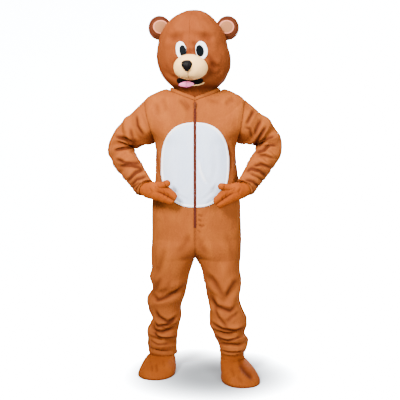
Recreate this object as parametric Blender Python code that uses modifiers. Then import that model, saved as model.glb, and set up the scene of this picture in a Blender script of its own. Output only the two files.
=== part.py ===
"""Bear mascot costume, worn pose with no wearer: velour suit, mittens, boot covers and head.

Frame: metres, +Z up, the front faces -Y and the wearer's left hand is at +X. The origin is the
middle of the shoulder line, where the wearer carries the suit.

Every piece is a wall between an outer surface and an inner one. A surface is a function of two
numbers, worked out from short tables with a row for each section, and the folds are soft troughs
that move its points along the surface's own normal.
"""
import math

import bmesh
import bpy
import numpy as np
from mathutils import Matrix, Vector

COLLECTION = "bear_mascot_costume"

CLOTH = 0.0022          # velour wall
FOAM = 0.006            # foam-backed velour of the head
SEAM = 0.00015          # half of the gap between two sewn pieces
SQUARE = 0.10           # how far a body section fills out towards a rectangle
FLOOR_Z = -1.42

CLOTH_COLOUR = (0.58, 0.205, 0.072)
GLOVE_COLOUR = (0.62, 0.20, 0.055)
EAR_COLOUR = (0.33, 0.10, 0.045)
INNER_EAR_COLOUR = (0.69, 0.47, 0.31)
WHITE = (0.80, 0.83, 0.90)
EYE_WHITE = (0.86, 0.87, 0.90)
PUPIL = (0.006, 0.012, 0.022)
CREAM = (0.87, 0.67, 0.50)
BLACK = (0.010, 0.009, 0.010)
PINK = (0.86, 0.40, 0.55)
ZIP_COLOUR = (0.20, 0.045, 0.050)
METAL = (0.45, 0.28, 0.20)


# ---------------------------------------------------------------- tables and curves
def columns(names, rows):
    """Turn a table's rows into one array per named column; each row starts with its own name."""
    values = np.array([row[1:] for row in rows], dtype=float)
    return {name: values[:, i] for i, name in enumerate(names[1:])}


def along(values, place):
    """Smooth curve through a column's values; place counts rows from the first."""
    count = len(values)
    place = np.clip(place, 0.0, count - 1.0)
    row = np.clip(np.floor(place).astype(int), 0, count - 2)
    part = place - row
    before = values[np.clip(row - 1, 0, count - 1)]
    here = values[row]
    after = values[row + 1]
    beyond = values[np.clip(row + 2, 0, count - 1)]
    slope_here = 0.5 * (after - before)
    slope_after = 0.5 * (beyond - here)
    square = part * part
    cube = square * part
    return ((2 * cube - 3 * square + 1) * here + (cube - 2 * square + part) * slope_here
            + (3 * square - 2 * cube) * after + (cube - square) * slope_after)


def ease(value):
    """Smooth step from 0 to 1."""
    value = np.clip(value, 0.0, 1.0)
    return value * value * (3.0 - 2.0 * value)


def unit(vectors):
    """Vectors scaled to length one."""
    length = np.linalg.norm(vectors, axis=-1, keepdims=True)
    return vectors / np.maximum(length, 1e-12)


def folds(rows, turn, reach, metres_per_turn):
    """Sum of soft troughs. A row is a line from (turn, reach) to (turn, reach) with depth and width.

    Each trough is a bell across its line, with a lower ridge on either side of it.
    """
    total = np.zeros(np.broadcast(turn, reach).shape)
    for _, turn_a, reach_a, turn_b, reach_b, depth, width in rows:
        start = np.array((turn_a * metres_per_turn, reach_a))
        line = np.array((turn_b * metres_per_turn, reach_b)) - start
        over = turn * metres_per_turn - start[0]
        up = reach - start[1]
        part = np.clip((over * line[0] + up * line[1]) / (line @ line), 0.0, 1.0)
        away = np.hypot(over - part * line[0], up - part * line[1]) / width
        fade = 0.55 + 0.45 * np.sin(np.pi * part)
        ridge = 0.5 * np.exp(-((away - 2.0) / 1.0) ** 2)
        total = total - depth * fade * (np.exp(-away ** 2) - ridge)
    return total


# ---------------------------------------------------------------- meshes
def material(name, colour, roughness, metallic):
    """One Principled material."""
    made = bpy.data.materials.new(name)
    made.use_nodes = True
    shader = made.node_tree.nodes["Principled BSDF"]
    shader.inputs["Base Color"].default_value = (*colour, 1.0)
    shader.inputs["Roughness"].default_value = roughness
    shader.inputs["Metallic"].default_value = metallic
    made.diffuse_color = (*colour, 1.0)
    return made


def add_piece(name, verts, faces, colour, roughness=0.9, metallic=0.0):
    """Make one closed piece with its faces pointing out, in the costume's collection."""
    mesh = bpy.data.meshes.new(name)
    mesh.from_pydata([tuple(v) for v in verts], [], faces)
    work = bmesh.new()
    work.from_mesh(mesh)
    bmesh.ops.remove_doubles(work, verts=work.verts, dist=1e-6)
    bmesh.ops.recalc_face_normals(work, faces=work.faces)
    work.to_mesh(mesh)
    work.free()
    mesh.materials.append(material(name, colour, roughness, metallic))
    mesh.shade_smooth()
    piece = bpy.data.objects.new(name, mesh)
    bpy.data.collections[COLLECTION].objects.link(piece)
    return piece


def wall(name, outer, inner, colour, closed=False, roughness=0.9, metallic=0.0):
    """Close a wall between two grids of points: rows along the first axis, round the second.

    A row whose points all coincide is a pole and needs no rim.
    """
    rows, across = outer.shape[:2]
    verts = np.concatenate((outer.reshape(-1, 3), inner.reshape(-1, 3)))
    base = rows * across
    spans = across if closed else across - 1
    faces = []
    for i in range(rows - 1):
        for j in range(spans):
            a = i * across + j
            b = i * across + (j + 1) % across
            faces.append((a, b, b + across, a + across))
            faces.append((base + a, base + a + across, base + b + across, base + b))
    for i in (0, rows - 1):
        if np.ptp(outer[i], axis=0).max() < 1e-7:
            continue
        for j in range(spans):
            a = i * across + j
            b = i * across + (j + 1) % across
            faces.append((a, base + a, base + b, b))
    if not closed:
        for j in (0, across - 1):
            for i in range(rows - 1):
                a = i * across + j
                faces.append((a, a + across, base + a + across, base + a))
    return add_piece(name, verts, faces, colour, roughness, metallic)


def normals(surface, first, second, step_first, step_second, flip):
    """Unit normals of a surface function, from small steps either side of each point."""
    along_first = surface(first + step_first, second) - surface(first - step_first, second)
    along_second = surface(first, second + step_second) - surface(first, second - step_second)
    return flip * unit(np.cross(along_first, along_second))


def trim(outer, inner, edge, inside):
    """Draw one edge column of a wall back from its seam, towards the column inside it."""
    back = SEAM * unit(outer[:, inside] - outer[:, edge])
    outer[:, edge] += back
    inner[:, edge] += back


# ---------------------------------------------------------------- the suit's body
# Rows from the neck seam to the crotch. edge_l and edge_r are the half widths at the shoulder seam,
# armhole or side seam, front and back are depths from the side line, arm is the armhole's angle
# round the section, turn the angle at which the section reaches the middle, vee the neck's point.
TORSO = columns(
    ("name", "edge_l", "edge_r", "edge_z", "side_y", "front", "front_z", "back", "back_z", "arm",
     "turn", "vee"),
    [("neck", 0.130, 0.130, 0.036, 0.005, 0.120, -0.022, 0.092, 0.034, 0, 90, 1.0),
     ("yoke", 0.152, 0.154, 0.043, 0.006, 0.134, -0.056, 0.110, 0.014, 0, 90, 0.6),
     ("yoke_low", 0.204, 0.203, 0.024, 0.006, 0.144, -0.092, 0.121, -0.020, 0, 90, 0.3),
     ("shoulder", 0.254, 0.250, -0.007, 0.006, 0.150, -0.130, 0.130, -0.058, 0, 90, 0.1),
     ("arm_top", 0.254, 0.249, -0.050, 0.006, 0.154, -0.162, 0.135, -0.098, 22, 90, 0),
     ("arm_mid", 0.243, 0.240, -0.108, 0.005, 0.157, -0.193, 0.137, -0.142, 35, 90, 0),
     ("arm_low", 0.225, 0.228, -0.172, 0.004, 0.158, -0.224, 0.136, -0.192, 33, 90, 0),
     ("armpit", 0.208, 0.215, -0.234, 0.003, 0.159, -0.260, 0.133, -0.246, 0, 90, 0),
     ("chest", 0.204, 0.209, -0.300, 0.002, 0.160, -0.312, 0.129, -0.306, 0, 90, 0),
     ("midriff", 0.204, 0.217, -0.372, 0.001, 0.160, -0.376, 0.126, -0.374, 0, 90, 0),
     ("waist", 0.207, 0.225, -0.435, 0.000, 0.159, -0.436, 0.125, -0.436, 0, 90, 0),
     ("belly", 0.214, 0.230, -0.492, 0.000, 0.157, -0.493, 0.128, -0.493, 0, 90, 0),
     ("hip_high", 0.221, 0.233, -0.550, 0.000, 0.154, -0.551, 0.134, -0.551, 0, 90, 0),
     ("hip", 0.225, 0.237, -0.610, 0.000, 0.151, -0.612, 0.140, -0.612, 0, 90, 0),
     ("seat", 0.225, 0.240, -0.670, 0.000, 0.149, -0.674, 0.143, -0.674, 0, 90, 0),
     ("fork", 0.226, 0.242, -0.722, 0.000, 0.147, -0.728, 0.142, -0.728, 0, 90, 0),
     ("fork_low", 0.228, 0.241, -0.765, 0.000, 0.143, -0.776, 0.137, -0.776, 0, 115, 0),
     ("fork_under", 0.230, 0.240, -0.800, 0.000, 0.138, -0.812, 0.131, -0.812, 0, 146, 0),
     ("crotch", 0.230, 0.238, -0.832, 0.000, 0.132, -0.832, 0.126, -0.832, 0, 180, 0)])
CROTCH_ROW = 18

# Trouser legs from the crotch to the hem, one table for each leg.
LEG_COLUMNS = ("name", "outer", "inner", "z", "side_y", "front", "back")
LEG_LEFT = columns(LEG_COLUMNS, [
    ("crotch", 0.230, 0.0003, -0.832, 0.000, 0.132, 0.126),
    ("thigh", 0.228, 0.019, -0.885, 0.002, 0.126, 0.120),
    ("thigh_low", 0.239, 0.034, -0.935, 0.004, 0.118, 0.112),
    ("knee_top", 0.221, 0.045, -0.990, 0.006, 0.108, 0.102),
    ("knee", 0.251, 0.058, -1.045, 0.008, 0.107, 0.098),
    ("knee_low", 0.248, 0.072, -1.092, 0.011, 0.099, 0.098),
    ("calf", 0.231, 0.070, -1.146, 0.015, 0.093, 0.095),
    ("calf_low", 0.232, 0.080, -1.178, 0.018, 0.090, 0.092),
    ("shin", 0.254, 0.088, -1.218, 0.022, 0.095, 0.094),
    ("ankle", 0.253, 0.096, -1.262, 0.026, 0.090, 0.090),
    ("stack", 0.255, 0.098, -1.302, 0.030, 0.091, 0.090),
    ("hem", 0.247, 0.095, -1.3465, 0.034, 0.082, 0.082)])
LEG_RIGHT = columns(LEG_COLUMNS, [
    ("crotch", 0.238, 0.0003, -0.832, 0.000, 0.132, 0.126),
    ("thigh", 0.234, 0.030, -0.885, -0.008, 0.126, 0.118),
    ("thigh_low", 0.242, 0.042, -0.935, -0.016, 0.117, 0.110),
    ("knee_top", 0.241, 0.054, -0.988, -0.024, 0.108, 0.103),
    ("knee", 0.230, 0.066, -1.045, -0.032, 0.104, 0.100),
    ("knee_low", 0.250, 0.073, -1.095, -0.040, 0.101, 0.098),
    ("calf", 0.268, 0.071, -1.140, -0.047, 0.098, 0.097),
    ("calf_low", 0.266, 0.078, -1.180, -0.054, 0.093, 0.094),
    ("shin", 0.256, 0.098, -1.218, -0.061, 0.087, 0.090),
    ("ankle", 0.273, 0.112, -1.248, -0.067, 0.090, 0.092),
    ("stack", 0.270, 0.122, -1.277, -0.073, 0.086, 0.088),
    ("hem", 0.260, 0.126, -1.309, -0.079, 0.082, 0.080)])

# Large folds of the body and legs: angle from the side seam in degrees (front positive), height,
# then the same for the fold's other end, depth and half width.
FOLD_TURN = 0.0022      # metres of cloth to a degree
BODY_FOLDS = {
    "left": [("knee_drag", 22, -1.032, 160, -0.984, 0.012, 0.021),
             ("shin_zig", 8, -1.150, 62, -1.214, 0.013, 0.017),
             ("shin_zag", 62, -1.214, 150, -1.186, 0.011, 0.016),
             ("ankle_fold", 30, -1.243, 165, -1.272, 0.014, 0.013),
             ("hem_fold", 5, -1.310, 130, -1.320, 0.006, 0.010),
             ("thigh_drape", 62, -0.800, 28, -0.960, 0.006, 0.024),
             ("knee_back", -25, -1.030, -150, -0.995, 0.013, 0.021),
             ("calf_back", -10, -1.150, -100, -1.172, 0.012, 0.018),
             ("ankle_back", -20, -1.236, -155, -1.262, 0.013, 0.014),
             ("seat_back", -70, -0.800, -120, -0.835, 0.008, 0.022),
             ("arm_drag", 2, -0.272, 18, -0.372, 0.006, 0.016),
             ("waist_side", 0, -0.470, 26, -0.560, 0.007, 0.020),
             ("blade_back", -46, -0.150, -72, -0.330, 0.007, 0.026),
             ("waist_back", -30, -0.440, -82, -0.520, 0.008, 0.024)],
    "right": [("knee_drape_a", 170, -0.985, 92, -1.046, 0.010, 0.020),
              ("knee_drape_b", 92, -1.046, 45, -0.965, 0.009, 0.020),
              ("knee_drag", 165, -1.036, 80, -1.092, 0.010, 0.018),
              ("shin_deep", 165, -1.200, 12, -1.204, 0.015, 0.015),
              ("shin_fold", 160, -1.243, 18, -1.254, 0.012, 0.012),
              ("hem_fold", 150, -1.302, 15, -1.308, 0.006, 0.010),
              ("thigh_drape", 70, -0.800, 120, -0.930, 0.006, 0.024),
              ("knee_back", -30, -1.040, -150, -1.010, 0.013, 0.021),
              ("calf_back", -20, -1.165, -150, -1.195, 0.013, 0.017),
              ("ankle_back", -20, -1.246, -150, -1.252, 0.011, 0.013),
              ("seat_back", -66, -0.795, -118, -0.830, 0.008, 0.022),
              ("arm_drag", 2, -0.262, 18, -0.355, 0.006, 0.016),
              ("waist_side", 2, -0.450, 24, -0.545, 0.007, 0.020),
              ("blade_back", -44, -0.140, -74, -0.300, 0.007, 0.026),
              ("waist_back", -26, -0.450, -84, -0.505, 0.008, 0.024)]}


def body_smooth(side, face, across, row):
    """Body surface without folds.

    across runs from 0 at the side to 1 at the middle, row down the tables. A section is an arc of
    an oval, from the armhole's angle to the angle at which it meets the middle line.
    """
    half = "edge_l" if side == "left" else "edge_r"
    sign = -1.0 if side == "left" else 1.0
    leg = LEG_LEFT if side == "left" else LEG_RIGHT
    depth = "front" if face == "front" else "back"
    forward = -1.0 if face == "front" else 1.0
    upper = np.minimum(row, CROTCH_ROW)
    lower = np.maximum(row - CROTCH_ROW, 0.0)
    on_leg = row > CROTCH_ROW

    def pick(torso_values, leg_values):
        return np.where(on_leg, along(leg_values, lower), along(torso_values, upper))

    edge_x = pick(TORSO[half], leg["outer"])
    middle_x = np.where(on_leg, along(leg["inner"], lower), 2 * SEAM)
    edge_z = pick(TORSO["edge_z"], leg["z"])
    middle_z = pick(TORSO[depth + "_z"], leg["z"])
    side_y = pick(TORSO["side_y"], leg["side_y"])
    deep = pick(TORSO[depth], leg[depth])
    arm = np.radians(np.maximum(along(TORSO["arm"], upper), 0.0)) * ~on_leg
    turn = np.where(on_leg, math.pi, np.radians(np.maximum(along(TORSO["turn"], upper), 90.0)))
    vee = np.maximum(along(TORSO["vee"], upper), 0.0) * ~on_leg
    fill = SQUARE * (1.0 - ease((np.degrees(turn) - 90.0) / 90.0))

    def out(angle):
        return np.cos(angle) * (1.0 + fill * np.sin(angle) ** 2)

    angle = arm + (turn - arm) * across
    share = (out(angle) - out(turn)) / (out(arm) - out(turn))
    x = middle_x + (edge_x - middle_x) * share
    y = side_y + forward * deep * np.sin(angle) * (1.0 + fill * np.cos(angle) ** 2)
    reach = (1.0 - vee) * np.sin(0.5 * math.pi * across) ** 2 + vee * np.abs(across) ** 1.5
    z = edge_z + (middle_z - edge_z) * reach
    return np.stack((sign * x, y, z), axis=-1)


def body(side, face, across, row, thickness=CLOTH):
    """Outer and inner points of the body's wall at a grid of across and row."""
    def surface(a, r):
        return body_smooth(side, face, a, r)

    flip = -1.0 if (side == "left") == (face == "front") else 1.0
    out = normals(surface, across, row, 0.002, 0.02, flip)
    points = surface(across, row)
    upper = np.minimum(row, CROTCH_ROW)
    on_leg = row > CROTCH_ROW
    turn = np.where(on_leg, 180.0, np.maximum(along(TORSO["turn"], upper), 90.0))
    arm = np.maximum(along(TORSO["arm"], upper), 0.0) * ~on_leg
    degrees = (arm + (turn - arm) * across) * (1.0 if face == "front" else -1.0)
    push = folds(BODY_FOLDS[side], degrees, points[..., 2], FOLD_TURN)
    push = push * ease(np.abs(points[..., 0]) / 0.03)
    hold = ease(row / 3.0)
    outer = points + out * (push * hold)[..., None]
    return outer, outer - out * thickness


ACROSS = np.linspace(0.0, 1.0, 9)
TORSO_ROWS = np.concatenate((np.arange(0, 3), np.arange(3, 7, 0.5), (7, 8, 10, 11, 13, 15, 16, 17)))
LEG_ROWS = np.concatenate((np.arange(18, 21, 1.0), np.arange(21, 29, 0.5), [29.0]))
BODY_ROWS = np.concatenate((TORSO_ROWS, LEG_ROWS))
ARMHOLE = slice(3, 12)      # rows of BODY_ROWS from the shoulder point to the armpit
# A panel is one piece of cloth; its wall is made in five bands, cut at these rows.
BANDS = {"": (0, 10), "hip_": (10, 18), "thigh_": (18, 23), "shin_": (23, 26), "ankle_": (26, 29)}


def make_body(side, face):
    """One body panel, shoulder to hem, in bands, and the whole wall's points."""
    across, row = np.meshgrid(ACROSS, BODY_ROWS)
    outer, inner = body(side, face, across, row)
    trim(outer, inner, 0, 1)
    trim(outer, inner, -1, -2)
    for band, cuts in BANDS.items():
        first, last = np.searchsorted(BODY_ROWS, cuts)
        band_outer = outer[first:last + 1].copy()
        band_inner = inner[first:last + 1].copy()
        sideways = (band_outer.swapaxes(0, 1), band_inner.swapaxes(0, 1))
        if first > 0:
            trim(*sideways, 0, 1)
        if last < len(BODY_ROWS) - 1:
            trim(*sideways, -1, -2)
        wall(f"{face}_{band}{side}", band_outer, band_inner, CLOTH_COLOUR)
    return outer, inner


# ---------------------------------------------------------------- sleeves
# Straight upper arm and forearm joined by an arc at the elbow. Widths by distance down the sleeve.
ARMS = {
    "left": {"shoulder": (-0.236, 0.004, -0.122), "elbow": (-0.420, 0.055, -0.252),
             "wrist": (-0.248, -0.150, -0.462), "bend": 0.080},
    "right": {"shoulder": (0.236, 0.004, -0.122), "elbow": (0.424, 0.055, -0.225),
              "wrist": (0.247, -0.150, -0.462), "bend": 0.085}}
SLEEVE = columns(("name", "down", "wide", "deep"),
                 [("armhole", 0.00, 0.112, 0.095),
                  ("upper", 0.08, 0.092, 0.086),
                  ("above_elbow", 0.15, 0.072, 0.074),
                  ("elbow", 0.22, 0.066, 0.070),
                  ("below_elbow", 0.29, 0.063, 0.066),
                  ("forearm", 0.36, 0.060, 0.060),
                  ("gather", 0.42, 0.057, 0.055),
                  ("cuff", 0.49, 0.053, 0.050)])
SLEEVE_TURN = 0.0011
# A sleeve is one piece of cloth; its wall is made in four bands, cut at these of its rings.
SLEEVE_BANDS = {"": (0, 4), "bend_": (4, 6), "elbow_": (6, 8), "forearm_": (8, 16)}
ARMPIT_LAP = 0.0030         # the sleeve starts outside the panels under the arm
CUFF_SHORT = 0.012          # where the cuff starts to draw in towards the mitten
CUFF_ROW = 1.5              # row of the mitten's table at which it ends
CUFF_CLEAR = 0.0026
SLEEVE_FOLDS = {
    "left": [("cap", 40, 0.060, 150, 0.080, 0.008, 0.020),
             ("crook_a", 60, 0.120, 180, 0.175, 0.010, 0.016),
             ("crook_b", 55, 0.235, 180, 0.205, 0.010, 0.015),
             ("fore_a", 10, 0.255, 130, 0.285, 0.009, 0.014),
             ("fore_b", 30, 0.335, 175, 0.300, 0.009, 0.014),
             ("fore_c", 0, 0.350, 110, 0.385, 0.008, 0.013),
             ("back_a", 200, 0.180, 300, 0.150, 0.009, 0.018),
             ("back_b", 200, 0.260, 320, 0.290, 0.009, 0.016),
             ("back_c", 220, 0.370, 340, 0.350, 0.008, 0.014)],
    "right": [("cap", 30, 0.075, 160, 0.060, 0.008, 0.020),
              ("crook_a", 40, 0.150, 180, 0.170, 0.011, 0.016),
              ("crook_b", 70, 0.225, 180, 0.210, 0.010, 0.015),
              ("fore_a", 20, 0.280, 140, 0.265, 0.008, 0.014),
              ("fore_b", 10, 0.320, 160, 0.335, 0.010, 0.014),
              ("fore_c", 40, 0.385, 175, 0.365, 0.008, 0.013),
              ("back_a", 205, 0.190, 310, 0.165, 0.009, 0.018),
              ("back_b", 195, 0.280, 330, 0.270, 0.009, 0.016),
              ("back_c", 230, 0.360, 330, 0.385, 0.008, 0.014)]}


def arm_path(side, down):
    """Centre, direction, outward axis and front axis of an arm at a distance down the sleeve."""
    arm = ARMS[side]
    shoulder, elbow, wrist = (np.array(arm[key]) for key in ("shoulder", "elbow", "wrist"))
    upper = unit(elbow - shoulder)
    fore = unit(wrist - elbow)
    bend = math.acos(float(np.clip(upper @ fore, -1, 1)))
    cut = arm["bend"] * math.tan(bend / 2)
    straight = np.linalg.norm(elbow - shoulder) - cut
    arc = arm["bend"] * bend
    inward = unit(fore - upper * (fore @ upper))
    front = unit(np.cross(upper, fore)) * (1.0 if side == "left" else -1.0)
    down = np.asarray(down, dtype=float)
    round_part = np.clip(down - straight, 0.0, arc) / arm["bend"]
    after = np.maximum(down - straight - arc, 0.0)
    sine, cosine = np.sin(round_part)[..., None], np.cos(round_part)[..., None]
    heading = upper * cosine + inward * sine
    outward = upper * sine - inward * cosine
    centre = (shoulder + upper * np.minimum(down, straight)[..., None]
              + arm["bend"] * (upper * sine + inward * (1.0 - cosine)) + heading * after[..., None])
    return centre, heading, outward, front


def sleeve_length(side):
    """Distance down the arm's centre line from the shoulder to the wrist."""
    arm = ARMS[side]
    shoulder, elbow, wrist = (np.array(arm[key]) for key in ("shoulder", "elbow", "wrist"))
    upper, fore = elbow - shoulder, wrist - elbow
    bend = math.acos(float(unit(upper) @ unit(fore)))
    cut = arm["bend"] * math.tan(bend / 2)
    return np.linalg.norm(upper) + np.linalg.norm(fore) - 2 * cut + arm["bend"] * bend


def sleeve_tube(side, turn, down):
    """Sleeve as an oval tube round the arm's path; turn is 0 at the elbow's point, 90 in front."""
    centre, _, outward, front = arm_path(side, down)
    place = np.interp(down, SLEEVE["down"], np.arange(len(SLEEVE["down"])))
    wide, deep = along(SLEEVE["wide"], place), along(SLEEVE["deep"], place)
    angle = np.radians(turn)
    return (centre + outward * (wide * np.cos(angle))[..., None]
            + front * (deep * np.sin(angle))[..., None])


def sleeve(side, armhole_outer, armhole_inner, down, thickness=CLOTH):
    """Outer and inner points of a sleeve that starts on the armhole's own points."""
    count = armhole_outer.shape[0]
    turn, reach = np.meshgrid(np.arange(count) * 360.0 / count, down)
    upper = arm_path(side, 0.0)[1]

    def surface(t, d):
        tube = sleeve_tube(side, t, d)
        blend = ease(d / 0.10)[..., None]
        start = armhole_outer[None] + upper * d[..., None]
        return start * (1.0 - blend) + tube * blend

    def tube_only(t, d):
        return sleeve_tube(side, t, d)

    flip = -1.0 if side == "left" else 1.0
    out = normals(tube_only, turn, np.maximum(reach, 0.02), 1.0, 0.004, flip)
    points = surface(turn, reach)
    push = folds(SLEEVE_FOLDS[side], turn, reach, SLEEVE_TURN)
    push = push * ease((reach - 0.02) / 0.05)
    outer = points + out * push[..., None]
    start = armhole_inner - armhole_outer
    blend = ease(reach / 0.04)[..., None]
    inward = unit(start[None] * (1.0 - blend) - out * thickness * blend)
    return outer, outer + inward * thickness


def armhole_ring(front, back):
    """Points round an armhole, down its front edge and up its back one, from two panel walls."""
    rings = []
    for k in (0, 1):
        down_front = front[k][ARMHOLE, 0]
        up_back = back[k][ARMHOLE, 0]
        top = 0.5 * (down_front[:1] + up_back[:1])
        pit = 0.5 * (down_front[-1:] + up_back[-1:])
        rings.append(np.concatenate((top, down_front[1:-1], pit, up_back[1:-1][::-1])))
    beyond = unit(np.concatenate((
        front[0][ARMHOLE, 0][:1] * 0, front[0][ARMHOLE, 0][1:-1] - front[0][ARMHOLE, 1][1:-1],
        front[0][ARMHOLE, 0][:1] * 0,
        (back[0][ARMHOLE, 0][1:-1] - back[0][ARMHOLE, 1][1:-1])[::-1])))
    return rings, beyond


def cuff_end(side, ring):
    """Outer and inner points of the cuff's gathered end, drawn in round the mitten's wrist."""
    row = np.full(len(ring), CUFF_ROW)
    centre, upward, front, high, thick = mitten_frame(side, row)
    spokes = ring - centre
    turn = np.degrees(np.arctan2(np.sum(spokes * front, axis=-1) / thick,
                                 np.sum(spokes * upward, axis=-1) / high))
    return (mitten_point(side, turn, row, -CUFF_CLEAR - CLOTH),
            mitten_point(side, turn, row, -CUFF_CLEAR))


def make_sleeve(side, front, back):
    """One sleeve, seamed into the armhole between two body panels."""
    (ring_outer, ring_inner), beyond = armhole_ring(front, back)
    sideways = np.array((-1.0 if side == "left" else 1.0, 0.0, 0.0))
    from_pit = np.abs(np.arange(len(beyond)) - (ARMHOLE.stop - ARMHOLE.start - 1.0))
    lap = ARMPIT_LAP * np.exp(-(from_pit / 1.1) ** 2)
    step = 4 * SEAM * unit(beyond + 0.6 * sideways) + lap[:, None] * sideways
    length = sleeve_length(side) - CUFF_SHORT
    down = np.concatenate(([0.0, 0.02, 0.045], np.linspace(0.07, length, 13)))
    outer, inner = sleeve(side, ring_outer + step, ring_inner + step, down)
    drawn_outer, drawn_inner = cuff_end(side, outer[-1])
    outer = np.concatenate((outer, drawn_outer[None]))
    inner = np.concatenate((inner, drawn_inner[None]))
    for band, (first, last) in SLEEVE_BANDS.items():
        band_outer = outer[first:last + 1].copy()
        band_inner = inner[first:last + 1].copy()
        sideways = (band_outer.swapaxes(0, 1), band_inner.swapaxes(0, 1))
        if first > 0:
            trim(*sideways, 0, 1)
        if last < len(outer) - 1:
            trim(*sideways, -1, -2)
        wall(f"sleeve_{band}{side}", band_outer, band_inner, CLOTH_COLOUR, closed=True)


# ---------------------------------------------------------------- pieces laid on the front
def front_place(side, x, z):
    """The across and row at which a front panel passes through a given width and height."""
    across = np.clip(1.0 - np.abs(x) / 0.24, 0.0, 1.0)
    row = np.interp(-z, -TORSO["front_z"], np.arange(len(TORSO["front_z"])))
    for _ in range(30):
        point = body_smooth(side, "front", across, row)
        across = np.clip(across + (np.abs(point[..., 0]) - np.abs(x)) / 0.45, 0.0, 1.0)
        row = np.clip(row + (point[..., 2] - z) / 0.075, 0.0, CROTCH_ROW - 0.1)
    return across, row


def laid_on_front(side, x, z, lift, thickness):
    """Outer and inner points of a piece that lies on a front panel, made from its points."""
    across, row = front_place(side, x, z)
    outer, inner = body(side, "front", across, row)
    out = unit(outer - inner)
    return outer + out * (lift + thickness), outer + out * lift


BELLY_MIDDLE_Z = -0.342
BELLY_HALF_WIDE = 0.169
BELLY_HALF_HIGH = 0.211
BELLY_CORNER = 2.5          # exponent of the patch's squarish oval
BELLY_THICK = 0.0016
BELLY_ROWS = 17
BELLY_COLUMNS = 6
BELLY_FROM_ZIP = 0.0008     # gap beside the zip's tape
BELLY_LIFT = 0.0039         # clears the flats of the panel underneath
ZIP_HALF_WIDE = 0.0062
ZIP_THICK = 0.0016
ZIP_TOP_Z = -0.030
ZIP_END_Z = -0.656
SURFACE_LIFT = 0.0013       # the same, for narrow pieces
ZIP_LIFT = 0.0010
ZIP_ROWS = 18


def make_belly(side):
    """Half of the white belly patch, from the zip out to a squarish oval edge."""
    level = np.sin(np.linspace(-0.5, 0.5, BELLY_ROWS) * math.pi * 0.992)
    edge = BELLY_HALF_WIDE * (1.0 - np.abs(level) ** BELLY_CORNER) ** (1.0 / BELLY_CORNER)
    inset = ZIP_HALF_WIDE + BELLY_FROM_ZIP
    share, height = np.meshgrid(np.linspace(0.0, 1.0, BELLY_COLUMNS), level)
    reach = np.maximum(edge, inset + 0.004)[:, None]
    x = inset + (reach - inset) * share
    z = BELLY_MIDDLE_Z - BELLY_HALF_HIGH * height
    outer, inner = laid_on_front(side, x, z, BELLY_LIFT, BELLY_THICK)
    wall(f"belly_{side}", outer, inner, WHITE)


def middle_strip(half_wide, z, lift, thickness):
    """Outer and inner points of a strip over the centre front, left edge, middle, right edge."""
    strips = []
    for side, x in (("left", half_wide), ("left", 0.0), ("right", half_wide)):
        outer, inner = laid_on_front(side, np.full(len(z), x), z, lift, thickness)
        if x == 0.0:
            outer[:, 0] = 0.0
            inner[:, 0] = 0.0
        strips.append((outer, inner))
    return (np.stack([s[0] for s in strips], axis=1), np.stack([s[1] for s in strips], axis=1))


def make_zip():
    """Zip tapes and closed teeth, one strip down the centre front."""
    z = np.linspace(ZIP_TOP_Z, ZIP_END_Z, ZIP_ROWS)
    outer, inner = middle_strip(ZIP_HALF_WIDE, z, ZIP_LIFT, ZIP_THICK)
    outer[:, 1, 1] -= ZIP_RIDGE
    wall("zip", outer, inner, ZIP_COLOUR, roughness=0.6)


SLIDER_HALF = (0.0055, 0.0028, 0.0080)
TAB_HALF = (0.0038, 0.0009, 0.0120)
TAB_CLEAR = 0.0006          # between the slider's front and the tab
TAB_PIVOT_DOWN = 0.0008     # of the hinge below the tab's top end
TAB_TOP_DOWN = 0.0005       # of the tab's top end below the slider's middle
SLIDER_CLEAR = 0.0028       # the zip leans forward under the slider's lower end
SLIDER_BELOW_TOP = 0.010
ZIP_RIDGE = 0.0008          # how far the teeth stand up along the middle


def rounded_box(name, centre, half, bevel, pivot):
    """A metal box with bevelled edges, its origin at the pivot."""
    bpy.ops.mesh.primitive_cube_add(size=2.0, location=pivot)
    piece = bpy.context.object
    piece.name = name
    piece.data.name = name
    piece.scale = half
    bpy.ops.object.transform_apply(location=False, rotation=False, scale=True)
    piece.data.transform(Matrix.Translation(Vector(centre) - Vector(pivot)))
    rounding = piece.modifiers.new("rounded_edges", "BEVEL")
    rounding.width = bevel
    rounding.segments = 2
    rounding.limit_method = "ANGLE"
    piece.data.materials.append(material(name, METAL, 0.4, 0.8))
    for owner in list(piece.users_collection):
        owner.objects.unlink(piece)
    bpy.data.collections[COLLECTION].objects.link(piece)
    return piece


def zip_pull_place():
    """Middle of the slider, in front of the zip's top."""
    z = ZIP_TOP_Z - SLIDER_BELOW_TOP
    outer, _ = middle_strip(ZIP_HALF_WIDE, np.array([z]), ZIP_LIFT, ZIP_THICK)
    return (0.0, float(outer[0, 1, 1]) - ZIP_RIDGE - SLIDER_HALF[1] - SLIDER_CLEAR, z)


def make_zip_pull():
    """Slider on the teeth, and the tab that hangs from its bridge."""
    centre = zip_pull_place()
    rounded_box("zip_slider", centre, SLIDER_HALF, 0.0016, centre)
    tab_y = centre[1] - SLIDER_HALF[1] - TAB_HALF[1] - TAB_CLEAR
    top_z = centre[2] - TAB_TOP_DOWN
    rounded_box("zip_pull_tab", (0.0, tab_y, top_z - TAB_HALF[2]), TAB_HALF, 0.0007,
                (0.0, tab_y, top_z - TAB_PIVOT_DOWN))


COLLAR_HIGH = 0.019        # at the front; lower under the jaw and behind
COLLAR_BACK_HIGH = 0.0164
COLLAR_THICK = 0.0036
COLLAR_SEAM = 0.0005         # from the panels
COLLAR_ROLL = 0.0022       # how far the band's middle stands out


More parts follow.
